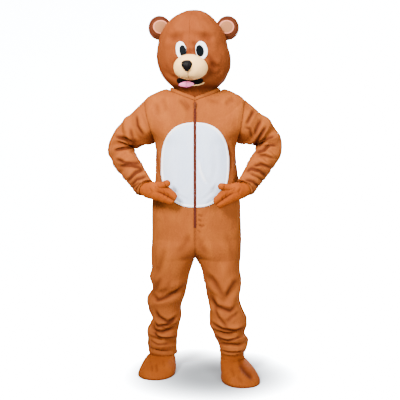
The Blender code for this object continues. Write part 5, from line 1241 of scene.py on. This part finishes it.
def fine_belly(side):
    """Half of a squarish oval, |x / wide| ** n + |z / high| ** n = 1, with a rolled rim."""
    level = np.sin(np.linspace(-0.5, 0.5, 130) * math.pi * 0.996)
    edge = BELLY_HALF_WIDE * (1.0 - np.abs(level) ** BELLY_CORNER) ** (1.0 / BELLY_CORNER)
    inset = ZIP_HALF_WIDE + BELLY_FROM_ZIP
    share = 1.0 - (1.0 - np.linspace(0.0, 1.0, 70)) ** 1.5
    share, height = np.meshgrid(share, level)
    reach = np.maximum(edge, inset + 0.004)[:, None]
    x = inset + (reach - inset) * share
    z = BELLY_MIDDLE_Z - BELLY_HALF_HIGH * height
    outer, inner = lay_on_front(side, x, z, BELLY_LIES, BELLY_THICK)
    sign = -1.0 if side == "left" else 1.0
    push, deep = creases(sign * x, z, BELLY_FOLDS)
    oval = (x / BELLY_HALF_WIDE) ** BELLY_CORNER + np.abs(height) ** BELLY_CORNER
    from_rim = (1.0 - np.minimum(oval, 1.0) ** (1.0 / BELLY_CORNER)) * BELLY_HALF_WIDE
    rim = np.exp(-((from_rim - BELLY_ROLL_AT) / 0.0034) ** 2)
    stitched = np.exp(-((from_rim - BELLY_STITCH_AT) / 0.0013) ** 2)
    beside = np.exp(-((x - inset) / 0.0022) ** 2)
    hold = ease(from_rim / 0.010)
    out = unit(outer - inner)
    move = push * hold + BELLY_ROLL * rim - BELLY_STITCH * stitched - BELLY_BESIDE * beside
    # The seam mark mixes in the whiter colour: on the rolled rim partly the turned edge's own pinkish white
    # and partly a painted highlight, a paler topstitching line, and a painted highlight along the folds.
    marks = {"seam": np.clip(1.2 * rim + 0.5 * stitched + 0.7 * deep * hold, 0.0, 1.0)}
    under = np.maximum(push * hold, -BELLY_UNDER)
    return outer + out * move[..., None], inner + out * under[..., None], marks


for side in ("left", "right"):
    outer, inner, marks = fine_belly(side)
    belly = wall_mesh(f"belly_patch_{side}", outer, inner, marks=marks)
    dress(belly, belly_velour, "white_plush", f"belly_{side}")

# ---------------------------------------------------------------- zip, slider and pull tab
# Closed zip down the middle of the front: two woven tapes and a row of interlocked teeth, then
# the slider and its hanging tab in dark enamelled metal.
ZIP_THICK = 0.0016
ZIP_TOP_Z = -0.030
ZIP_END_Z = -0.656
ZIP_RIDGE = 0.0011          # how far the teeth stand up along the middle
ZIP_LIES = 0.0009
TAPE = (0.078, 0.015, 0.0075), (0.024, 0.005, 0.004), (0.12, 0.024, 0.017)
TOOTH_PITCH = 0.0030
TOOTH_HALF_WIDE = 0.0024
TAPE_STITCH_X = 0.0050      # topstitching down each tape
ZIP_COLUMNS = np.array((ZIP_HALF_WIDE, 0.0052, 0.0040, 0.0030, TOOTH_HALF_WIDE, 0.0016, 0.0008))


def fine_zip():
    """Strip over the centre front: flat tapes, and teeth along the middle.

    A tooth is half a sine along the zip; the two sides stand half a pitch apart.
    """
    z = np.linspace(ZIP_TOP_Z, ZIP_END_Z, 1050)
    place = np.concatenate((-ZIP_COLUMNS, (0.0,), ZIP_COLUMNS[::-1]))[None]
    walls = [lay_on_front("right" if x > 0 else "left", np.full(len(z), abs(x)), z, ZIP_LIES, ZIP_THICK)
             for x in place[0]]
    outer, inner = (np.stack([wall[k] for wall in walls], axis=1) for k in (0, 1))
    outer[:, len(ZIP_COLUMNS), 0] = inner[:, len(ZIP_COLUMNS), 0] = 0.0
    phase = z[:, None] / TOOTH_PITCH * 2.0 * math.pi + np.where(place > 0, math.pi, 0.0)
    ridge = np.exp(-(place / TOOTH_HALF_WIDE) ** 4)
    tooth = ridge * (0.45 + 0.55 * np.clip(np.sin(phase), 0.0, 1.0))
    outer[..., 1] -= ZIP_RIDGE * tooth
    weave = 0.5 + 0.5 * np.sin(z[:, None] / 0.0009 + place / 0.0006)
    stitched = np.exp(-((np.abs(place) - TAPE_STITCH_X) / 0.0005) ** 2) * weave
    # The crease mark paints shade on the tape between the teeth; the seam mark darkens the tapes'
    # stitching.
    return outer, inner, {"crease": (1.0 - tooth) * ridge, "seam": 0.5 * stitched}


zip_cloth = velour("zip_tape", *TAPE, 0.5)
outer, inner, marks = fine_zip()
zip_strip = wall_mesh("zip_closed", outer, inner, marks=marks)
dress(zip_strip, zip_cloth, "zip_tape", "zip")


def enamel(name, colour, worn):
    """Dark enamelled zinc: mottled colour, paler where fine noise stands up, and a faint bump."""
    return material(name, {
        "place": "TexCoord", "grain": "TexNoise", "range": "MapRange", "mix": "Mix data_type RGBA",
        "bump": "Bump"
    }, {
        "grain.Scale": 900.0, "grain.Detail": 4.0, "range.From Min": 0.45, "range.From Max": 0.75,
        "mix.A": (*colour, 1.0), "mix.B": (*worn, 1.0), "bump.Strength": 0.2,
        "bump.Distance": 0.0003, "shader.Metallic": 0.0, "shader.Roughness": 0.5,
        "shader.Specular IOR Level": 0.06
    }, ("place.Object > grain.Vector", "grain.Fac > range.Value", "range.Result > mix.Factor",
        "mix.Result > shader.Base Color", "grain.Fac > bump.Height", "bump.Normal > shader.Normal"))


zip_metal = enamel("zip_enamel", (0.085, 0.020, 0.006), (0.16, 0.045, 0.015))
for node in ("zip_slider", "zip_pull_tab"):
    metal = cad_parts[node]
    metal.data.materials.clear()
    metal.data.materials.append(zip_metal)

# ---------------------------------------------------------------- head
# Mask head: short velour over a 6 mm foam shell, in two halves sewn down the middle of the face and
# of the back. The brow is dented above each eye and the cheeks are creased beside the muzzle.
FOAM = 0.006                # foam-backed velour of the head
HEAD_YAW = math.radians(-5.0)
HEAD = columns(
    ("name", "z", "half", "middle", "front", "back"),
    [("neck", -0.014, 0.096, 0.004, 0.088, 0.074),
     ("neck_high", 0.020, 0.101, 0.004, 0.107, 0.075),
     ("collar", 0.042, 0.108, 0.002, 0.133, 0.0782),
     ("chin", 0.061, 0.129, 0.0015, 0.149, 0.105),
     ("jaw", 0.080, 0.148, 0.001, 0.160, 0.134),
     ("jaw_high", 0.104, 0.165, -0.002, 0.168, 0.151),
     ("cheek", 0.138, 0.181, -0.002, 0.177, 0.167),
     ("cheek_high", 0.175, 0.189, -0.005, 0.183, 0.180),
     ("face", 0.214, 0.189, -0.008, 0.185, 0.188),
     ("eye", 0.252, 0.181, -0.012, 0.181, 0.189),
     ("brow", 0.288, 0.173, -0.012, 0.173, 0.184),
     ("forehead", 0.322, 0.161, -0.012, 0.164, 0.173),
     ("crown_low", 0.358, 0.139, -0.013, 0.145, 0.151),
     ("crown", 0.392, 0.112, -0.013, 0.119, 0.122),
     ("crown_high", 0.414, 0.085, -0.009, 0.091, 0.092),
     ("top_low", 0.431, 0.050, -0.005, 0.053, 0.053),
     ("top_edge", 0.4395, 0.015, -0.003, 0.016, 0.016),
     ("top", 0.4400, 0.0016, -0.003, 0.0016, 0.0016)])
HEAD_TURN = 0.0031          # metres of cloth to a degree
HEAD_FOLDS = [
    ("brow_left", -34, 280, -6, 298, 7, 16), ("brow_right", 6, 298, 36, 284, 7, 16),
    ("cheek_right", 34, 150, 52, 128, 6, 14), ("cheek_left", -50, 118, -36, 90, 5, 14),
    ("nape", 150, 70, 205, 78, 5, 18)]
# The head takes the suit's velour drawn darker and a little redder: painted shade against the stronger
# light on the head.
HEAD_BROWN_SHADED = (0.178, 0.040, 0.0080), (0.060, 0.010, 0.003), (0.265, 0.069, 0.015)
HEAD_TOP = 17.0             # last row of the head's table
HEAD_SEAM = 0.0008          # depth of the seam down the back
HEAD_ROUGH = 0.0008         # height of the slow unevenness of the foam
MOUTH_HOLLOW = 0.006
HOLLOW_HALF = (0.052, 0.022)
MOUTH_X = -0.014
MOUTH_Z = 0.079
FACE_CREASES = [
    ((-124, 272, -92, 284, -52, 272), 3.6, 17), ((14, 276, 54, 286, 86, 270), 3.6, 17),
    ((-10, 268, 4, 240, 2, 215), 4, 14), ((78, 163, 112, 141, 128, 140), 2.6, 11),
    ((84, 104, 112, 112, 140, 130), 2.6, 11), ((150, 170, 158, 146, 152, 124), 2.6, 8),
    ((-150, 158, -128, 128, -104, 112), 2.8, 9), ((-120, 104, -96, 92, -80, 78), 2.4, 7),
    ((-60, 398, -20, 412, 30, 408), 1.6, 16)]


def head_smooth(turn, row):
    """Head without folds: ovals by height; turn is 0 at the face's middle, 90 at the left ear."""
    angle = np.radians(turn)
    half, middle = along(HEAD["half"], row), along(HEAD["middle"], row)
    depth = np.where(np.cos(angle) > 0, along(HEAD["front"], row), along(HEAD["back"], row))
    x = half * np.sin(angle)
    y = -depth * np.cos(angle)
    return np.stack((middle + x * math.cos(HEAD_YAW) - y * math.sin(HEAD_YAW),
                     x * math.sin(HEAD_YAW) + y * math.cos(HEAD_YAW),
                     along(HEAD["z"], row)), axis=-1)


def head(turn, row):
    """Head surface and its outward normals, with the brow dip, creases and mouth hollow."""
    out = normals(head_smooth, turn, np.clip(row, 0.03, HEAD_TOP - 0.9), 1.0, 0.02, 1.0)
    points = head_smooth(turn, row)
    upright = np.clip((row - (HEAD_TOP - 1.0)) / 0.8, 0.0, 1.0)[..., None]
    out = unit(out * (1.0 - upright) + np.array((0.0, 0.0, 1.0)) * upright)
    height = along(HEAD["z"], row)
    push = folds(HEAD_FOLDS, turn, height, HEAD_TURN)
    push = push * ease(np.abs(np.abs(turn) - 180.0) / 12.0) * ease((0.42 - height) / 0.05)
    hollow = np.exp(-((turn * HEAD_TURN - MOUTH_X) / HOLLOW_HALF[0]) ** 4
                    - ((height - MOUTH_Z) / HOLLOW_HALF[1]) ** 2)
    return points + out * (push - MOUTH_HOLLOW * hollow)[..., None], out


def fine_head(side):
    """Half of the head: the oval of each height, its folds, then fine creases on the face.

    A shallow groove runs along the seam behind.
    """
    sign = -1.0 if side == "left" else 1.0
    share, row = np.meshgrid(packed(110, 0.4, 180.0), np.concatenate((
        np.linspace(0.0, HEAD_TOP - 1.0, 150)[:-1], np.linspace(HEAD_TOP - 1.0, HEAD_TOP, 8))))
    outer, out = head(sign * share, row)
    on_face = ease((70.0 - share) / 20.0)
    push, deep = creases(outer[..., 0], outer[..., 2], FACE_CREASES)
    hold = on_face * ease(HEAD_TOP - 1.0 - row)
    rough = HEAD_ROUGH * np.sin(share * 0.21 + row * 1.9) * np.sin(share * 0.13 - row * 1.1 + sign)
    from_seam = np.minimum(share, 180.0 - share) * HEAD_TURN
    groove = np.exp(-(from_seam / 0.0022) ** 2) * (share > 90.0)
    rough = rough * ease(from_seam / 0.02) * ease(row / 3.0)
    move = push * hold + rough - HEAD_SEAM * groove * ease(row)
    outer = outer + out * move[..., None]
    inner = outer - out * FOAM
    trim(outer, inner, 0, 1)
    trim(outer, inner, -1, -2)
    # Painted shade through the crease mark: a ring round the muzzle pad, a band round the neck where the
    # head meets the collar, and the face's fine creases.
    around = np.hypot(outer[..., 0] + 0.003, (outer[..., 2] - 0.146) * 1.25)
    muzzle_edge_shade = 0.55 * np.exp(-((around - 0.088) / 0.016) ** 2) * on_face
    under_chin_shade = 0.8 * np.exp(-((outer[..., 2] - 0.045) / 0.016) ** 2)
    dark = np.clip(deep * hold + muzzle_edge_shade + under_chin_shade, 0.0, 1.2)
    return outer, inner, {"crease": dark, "seam": 0.25 * groove}


head_velour = velour("head_velour", *HEAD_BROWN_SHADED, 0.9)
for side in ("left", "right"):
    outer, inner, marks = fine_head(side)
    half = wall_mesh(f"head_cloth_{side}", outer, inner, marks=marks)
    dress(half, head_velour, "velour", f"head_{side}")

# ---------------------------------------------------------------- face
# Sewn-on features: eyes and pupils of smooth felt, a padded cream muzzle with a black nose, a dark
# open mouth with a pink tongue, and a thin cream lower lip.
SURFACE_LIFT = 0.0013       # of the eyes and the lip, over the head
MUZZLE_CENTRE = (-0.002, 0.142)
MUZZLE_HALF = 0.077
MUZZLE_ABOVE = 0.059
MUZZLE_BELOW = 0.061
MUZZLE_RISE = 0.074
MUZZLE_LIFT = 0.0044
MUZZLE_EDGE = 0.003
MUZZLE_DOME = (2.3, 0.60)
MUZZLE_CREAM = (0.97, 0.56, 0.20), (0.30, 0.11, 0.035), (0.98, 0.66, 0.30)
MUZZLE_SEAM_X = 0.002       # of the seam below the nose, from the nose's middle
MUZZLE_PUFF = 0.0008
MUZZLE_VALLEY = 0.0035
MUZZLE_SEAM = 0.0012
NOSE_CENTRE = (-0.009, 0.155)
NOSE_HALF = (0.0180, 0.0205)
NOSE_RISE = 0.010
MOUTH_HALF = 0.066
MOUTH_ABOVE = 0.014
MOUTH_BELOW = 0.0245
TONGUE_CENTRE = (-0.030, 0.0605)
TONGUE_HALF = (0.032, 0.0132)
TONGUE_RISE = 0.006
TONGUE_GROOVE = 0.0032
MOUTH_LIFT = 0.0020         # of the mouth's lining, over the head
MOUTH_THICK = 0.0010
LIP_TURNS = (-128.0, -18.0)     # along the mouth's outline, in degrees
LIP_THICK = (0.0012, 0.0026)    # at its edges, and what its middle adds
NOSE_LIFT = 0.0008          # over the muzzle
NOSE_EDGE = 0.0015
TONGUE_EDGE = 0.002
TONGUE_LIFT = 0.0052        # clears the lining behind it
EYES = {"left": (-0.043, 0.2205, 0.0262), "right": (0.056, 0.2205, 0.0288)}
PUPILS = {"left": (-0.0340, 0.217, 0.0172), "right": (0.0480, 0.217, 0.0190)}
EYE_HALF_HIGH = 0.0425
EYE_THICK = 0.0012
PUPIL_HALF_HIGH = 0.0280
PUPIL_CLEAR = 0.0005        # over the eye's white
PUPIL_THICK = 0.0008


def face_place(x, z):
    """Turn and row of the head surface at a width and height seen from the front of the face."""
    row = np.interp(z, HEAD["z"], np.arange(len(HEAD["z"])))
    for _ in range(12):
        row = np.clip(row + (z - along(HEAD["z"], row)) / 0.038, 0.0, len(HEAD["z"]) - 1.2)
    return np.degrees(np.arcsin(np.clip(x / along(HEAD["half"], row), -0.98, 0.98))), row


def face(x, z):
    """Head surface and outward normals at face coordinates."""
    return head(*face_place(x, z))


def oval(half_wide, above, below):
    """Outline of an oval with its own height above and below the centre."""
    def outline(angle):
        """Width and height of the oval at an angle."""
        high = np.where(np.sin(angle) > 0, above, below)
        return half_wide * np.cos(angle), high * np.sin(angle)
    return outline


def muzzle_top(x, z):
    """Muzzle surface and outward normals at face coordinates."""
    def surface(a, b):
        """Points of the muzzle pad's top."""
        points, out = face(a, b)
        high = np.where(b > MUZZLE_CENTRE[1], MUZZLE_ABOVE, MUZZLE_BELOW)
        share = np.hypot((a - MUZZLE_CENTRE[0]) / MUZZLE_HALF, (b - MUZZLE_CENTRE[1]) / high)
        dome = MUZZLE_RISE * np.maximum(1.0 - share ** MUZZLE_DOME[0], 0.0) ** MUZZLE_DOME[1]
        return points + out * (MUZZLE_LIFT + MUZZLE_EDGE + dome)[..., None]
    return surface(x, z), normals(surface, x, z, 0.002, 0.002, 1.0)


def nose_outline(angle):
    """Rounded triangle, point down."""
    size = 1.0 + 0.11 * np.cos(3 * (angle + math.pi / 2))
    return NOSE_HALF[0] * size * np.cos(angle), NOSE_HALF[1] * size * np.sin(angle)


def mouth_outline(angle):
    """Wide smile: nearly flat above, round below."""
    high = np.where(np.sin(angle) > 0, MOUTH_ABOVE, MOUTH_BELOW)
    return MOUTH_HALF * np.cos(angle), high * np.sign(np.sin(angle)) * np.abs(np.sin(angle)) ** 0.8


def tongue_outline(angle):
    """Two lobes side by side, hanging down."""
    lobes = 1.0 + 0.10 * np.cos(2 * angle) + 0.05 * np.cos(4 * angle)
    return TONGUE_HALF[0] * lobes * np.cos(angle), TONGUE_HALF[1] * lobes * np.sin(angle)


def sewn_pad(name, ground, centre, outline, rise, lift, edge, power=(2.4, 0.6), rings=36, columns=96,
             shape=None):
    """Closed domed pad on a ground surface: rings from its middle to the outline and back beneath.

    Height over the ground = lift + edge + rise * (1 - share ** p) ** q, rounded off over the last
    rings; shape adds to it from (x, z) and gives the crease and seam marks.
    """
    share = 1.0 - (1.0 - np.linspace(0.0, 1.0, rings)) ** 1.7
    share, angle = np.meshgrid(share, np.arange(columns) * 2.0 * math.pi / columns, indexing="ij")
    wide, high = outline(angle)
    x, z = centre[0] + share * wide, centre[1] + share * high
    points, out = ground(x, z)
    dome = rise * np.maximum(1.0 - share ** power[0], 0.0) ** power[1]
    round_off = np.sqrt(np.maximum(1.0 - np.clip((share - 0.96) / 0.04, 0.0, 1.0) ** 2, 0.0))
    extra, crease, seam = shape(x, z, share, angle) if shape else (0.0, 0.0, 0.0)
    top = points + out * (lift + edge * (0.35 + 0.65 * round_off) + dome + extra)[..., None]
    beneath = (points + out * lift)[::-1]
    grid = np.concatenate((top, beneath))
    both = [np.concatenate((np.broadcast_to(m, share.shape), np.zeros(share.shape)))
            for m in (crease, seam)]
    return skin_mesh(name, grid, {"crease": both[0], "seam": both[1]})


def felt(name, colour, pale, rough, nap, shine):
    """Close felt or brushed knit: colour mottled by noise at 6 mm, and a fine nap bump from noise at 1 mm.
    """
    return material(name, {
        "place": "TexCoord", "mottle": "TexNoise", "fibre": "TexNoise", "range": "MapRange",
        "mix": "Mix data_type RGBA", "seam": "Attribute attribute_name seam", "limit": "MapRange",
        "dark": "Mix data_type RGBA", "bump": "Bump"
    }, {
        "mottle.Scale": 160.0, "mottle.Detail": 5.0, "fibre.Scale": 1100.0, "fibre.Detail": 2.0,
        "range.From Min": 0.35, "range.From Max": 0.75, "mix.A": (*colour, 1.0),
        "mix.B": (*pale, 1.0), "limit.To Max": 0.85, "dark.B": (*(0.28 * c for c in colour), 1.0),
        "bump.Strength": nap, "bump.Distance": 0.0008, "shader.Roughness": rough,
        "shader.Specular IOR Level": shine
    }, ("place.Object > mottle.Vector", "place.Object > fibre.Vector", "mottle.Fac > range.Value",
        "range.Result > mix.Factor", "seam.Fac > limit.Value", "mix.Result > dark.A",
        "limit.Result > dark.Factor", "dark.Result > shader.Base Color",
        "fibre.Fac > bump.Height", "bump.Normal > shader.Normal"))


def muzzle_shape(x, z, share, angle):
    """Two soft cheeks: a valley below the nose along a line that the face's middle seam follows."""
    below = ease((NOSE_CENTRE[1] - 0.010 - z) / 0.012) * ease((1.0 - share) / 0.16)
    aside = x - NOSE_CENTRE[0] - MUZZLE_SEAM_X
    line = np.exp(-(aside / 0.0016) ** 2) * below
    valley = np.exp(-(aside / 0.014) ** 2) * below
    puffs = MUZZLE_PUFF * np.sin(x * 150.0 + 1.0) * np.sin(z * 130.0) * ease((1.0 - share) / 0.3)
    edge = np.exp(-((share - 0.955) / 0.02) ** 2)
    push = puffs - MUZZLE_VALLEY * valley - MUZZLE_SEAM * line
    # The crease mark paints shade into the valley under the nose and round the pad's rim; the seam mark
    # darkens the middle seam.
    return push, 0.20 * valley + 0.35 * edge, 0.85 * line


def tongue_shape(x, z, share, angle):
    """A groove down the tongue's middle, between its two lobes."""
    line = np.exp(-((x - TONGUE_CENTRE[0] - 0.001) / 0.0028) ** 2) * ease((1.0 - share) / 0.15)
    return -TONGUE_GROOVE * line, 0.0 * line, 0.42 * line


def lip_strip():
    """Thin lip along the mouth's lower right edge: an arch in section, pointed at both ends."""
    angle = np.radians(np.linspace(*LIP_TURNS, 90))
    wide, high = mouth_outline(angle)
    part = np.linspace(0.0, 1.0, 13)
    taper = np.sin(np.linspace(0.0, math.pi, 90)) ** 0.5
    outer, inner = [], []
    for p in part:
        scale = 1.03 + 0.16 * (0.5 + (p - 0.5) * (0.35 + 0.65 * taper))
        points, out = face(MOUTH_X + wide * scale, MOUTH_Z + high * scale)
        thick = LIP_THICK[0] + LIP_THICK[1] * math.sin(math.pi * p) * (0.4 + 0.6 * taper)
        outer.append(points + out * (SURFACE_LIFT + thick)[:, None])
        inner.append(points + out * SURFACE_LIFT)
    return np.stack(outer), np.stack(inner)


eye_felt = felt("eye_white_felt", (0.88, 0.89, 0.91), (0.93, 0.94, 0.95), 0.55, 0.25, 0.2)
pupil_felt = felt("pupil_felt", (0.0008, 0.0018, 0.0028), (0.0015, 0.0032, 0.005), 0.5, 0.15, 0.025)
black_felt = felt("black_felt", (0.0014, 0.0010, 0.0012), (0.004, 0.003, 0.003), 0.45, 0.4, 0.06)
pink_felt = felt("pink_felt", (0.95, 0.17, 0.42), (0.97, 0.28, 0.54), 0.6, 0.4, 0.15)
muzzle_plush = velour("muzzle_plush", *MUZZLE_CREAM, 0.7)
for side in ("left", "right"):
    x, z, half_wide = EYES[side]
    white = sewn_pad(f"eye_felt_{side}", face, (x, z), oval(half_wide, EYE_HALF_HIGH, EYE_HALF_HIGH),
                     0.0, SURFACE_LIFT, EYE_THICK, rings=14)
    dress(white, eye_felt, "eye_white", f"eye_white_{side}")
    x, z, half_wide = PUPILS[side]
    dot = sewn_pad(f"pupil_felt_{side}", face, (x, z), oval(half_wide, PUPIL_HALF_HIGH, PUPIL_HALF_HIGH),
                   0.0, SURFACE_LIFT + EYE_THICK + PUPIL_CLEAR, PUPIL_THICK, rings=10)
    dress(dot, pupil_felt, "pupil", f"pupil_{side}")
mouth = sewn_pad("mouth_felt", face, (MOUTH_X, MOUTH_Z), mouth_outline, 0.0, MOUTH_LIFT, MOUTH_THICK,
                 rings=16)
dress(mouth, black_felt, "black_felt", "mouth_lining")
muzzle = sewn_pad("muzzle_pad", face, MUZZLE_CENTRE, oval(MUZZLE_HALF, MUZZLE_ABOVE, MUZZLE_BELOW),
                  MUZZLE_RISE, MUZZLE_LIFT, MUZZLE_EDGE, MUZZLE_DOME, 72, 150, muzzle_shape)
dress(muzzle, muzzle_plush, "cream_plush", "muzzle")
nose = sewn_pad("nose_pad", muzzle_top, NOSE_CENTRE, nose_outline, NOSE_RISE, NOSE_LIFT, NOSE_EDGE)
dress(nose, black_felt, "black_felt", "nose")
outer, inner = lip_strip()
lip = wall_mesh("lower_lip_strip", outer, inner)
dress(lip, muzzle_plush, "cream_plush", "lower_lip")
tongue = sewn_pad("tongue_pad", face, TONGUE_CENTRE, tongue_outline, TONGUE_RISE, TONGUE_LIFT,
                  TONGUE_EDGE, shape=tongue_shape)
dress(tongue, pink_felt, "pink_felt", "tongue")

# ---------------------------------------------------------------- ears
# Round padded ears of darker brown plush with a cream panel sewn in front, fixed on the head's
# upper corners. Both are cut to the head's surface where they meet it.
EARS = {"left": (-0.181, 0.352, 0.0585, 0.0620), "right": (0.166, 0.352, 0.0590, 0.0620)}
EAR_BACK_Y = 0.012
EAR_HALF_THICK = 0.017
INNER_EAR_LEAN = 0.006      # towards the head's middle
INNER_EAR_UP = 0.004
INNER_EAR_WIDE = 0.040
INNER_EAR_HIGH = (0.034, 0.036)
INNER_EAR_RISE = 0.0014
INNER_EAR_LIFT = 0.0014
INNER_EAR_EDGE = 0.0012
EAR_SEAM_AT = 0.80          # share of the ear's radius at which the front is pinched
EAR_PINCH = 0.0014
EAR_BROWN = (0.072, 0.017, 0.0055), (0.045, 0.009, 0.004), (0.125, 0.031, 0.010)
INNER_EAR = (0.285, 0.112, 0.045), (0.60, 0.19, 0.125), (0.40, 0.165, 0.07)


def ear_point(side, share, angle, back):
    """Ear surface: a round pad, share 0 at its middle to 1 at its rim."""
    x0, z0, wide, high = EARS[side]
    bulge = EAR_HALF_THICK * np.sqrt(np.maximum(1.0 - share ** 2.6, 0.0))
    x = x0 + wide * share * np.cos(angle)
    z = z0 + high * share * np.sin(angle)
    y = EAR_BACK_Y + np.where(back, bulge, -bulge)
    return np.stack((x, y, z), axis=-1)


def ear_front(side, x, z):
    """Front of the ear pad at (x, z), whose way out is straight ahead."""
    x0, z0, wide, high = EARS[side]
    across, up = (x - x0) / wide, (z - z0) / high
    points = ear_point(side, np.hypot(across, up), np.arctan2(up, across), False)
    return points, np.broadcast_to(np.array((0.0, -1.0, 0.0)), points.shape)


def fine_ear(side):
    """Round pad: front rings from the middle to the rim, then back rings to the middle behind.

    Half thickness falls as sqrt(1 - share ** 2.6); the front is pinched a little at its seam.
    """
    share = np.sin(np.linspace(0.0, math.pi / 2, 40))
    angle = np.arange(96) * math.pi / 48
    front_share, around = np.meshgrid(share, angle, indexing="ij")
    front = ear_point(side, front_share, around, False)
    pinch = EAR_PINCH * np.exp(-((front_share - EAR_SEAM_AT) / 0.05) ** 2)
    front[..., 1] += pinch + 0.0006 * np.sin(around * 9.0) * front_share * (front_share < 0.98)
    rear = ear_point(side, front_share[:-1][::-1], around[:-1], True)
    grid = np.concatenate((front, rear))
    # Both marks darken the front's pinched seam: partly a dark stitch line and partly painted shade in the
    # pinch.
    seam = np.exp(-((front_share - EAR_SEAM_AT) / 0.04) ** 2)
    seam = np.concatenate((seam, np.zeros(rear.shape[:2])))
    return skin_mesh(f"ear_pad_{side}", grid, {"crease": 0.4 * seam, "seam": 0.3 * seam})


def ear_rim(x, z, share, angle):
    """Pink turned edge of the inner ear, raised a little."""
    rim = np.exp(-((share - 0.90) / 0.07) ** 2)
    return 0.0006 * rim, rim, 0.0 * rim


ear_plush = velour("ear_plush", *EAR_BROWN)
inner_plush = velour("inner_ear_plush", *INNER_EAR, 0.8)
turn, row = np.meshgrid(np.arange(96) * 3.75, np.linspace(0.0, HEAD_TOP, 70))
head_rings, head_out = head(np.where(turn > 180, turn - 360, turn), row)
head_rings = head_rings + head_out * SEAT_GAP
for side in ("left", "right"):
    x0, z0 = EARS[side][:2]
    lean = INNER_EAR_LEAN if side == "left" else -INNER_EAR_LEAN
    pad = seated(fine_ear(side), head_rings)
    dress(pad, ear_plush, "ear_velour", f"ear_{side}")
    panel = sewn_pad(f"inner_ear_panel_{side}", partial(ear_front, side), (x0 + lean, z0 + INNER_EAR_UP),
                     oval(INNER_EAR_WIDE, *INNER_EAR_HIGH), INNER_EAR_RISE, INNER_EAR_LIFT,
                     INNER_EAR_EDGE, shape=ear_rim)
    dress(seated(panel, head_rings), inner_plush, "inner_ear_plush", f"inner_ear_{side}")
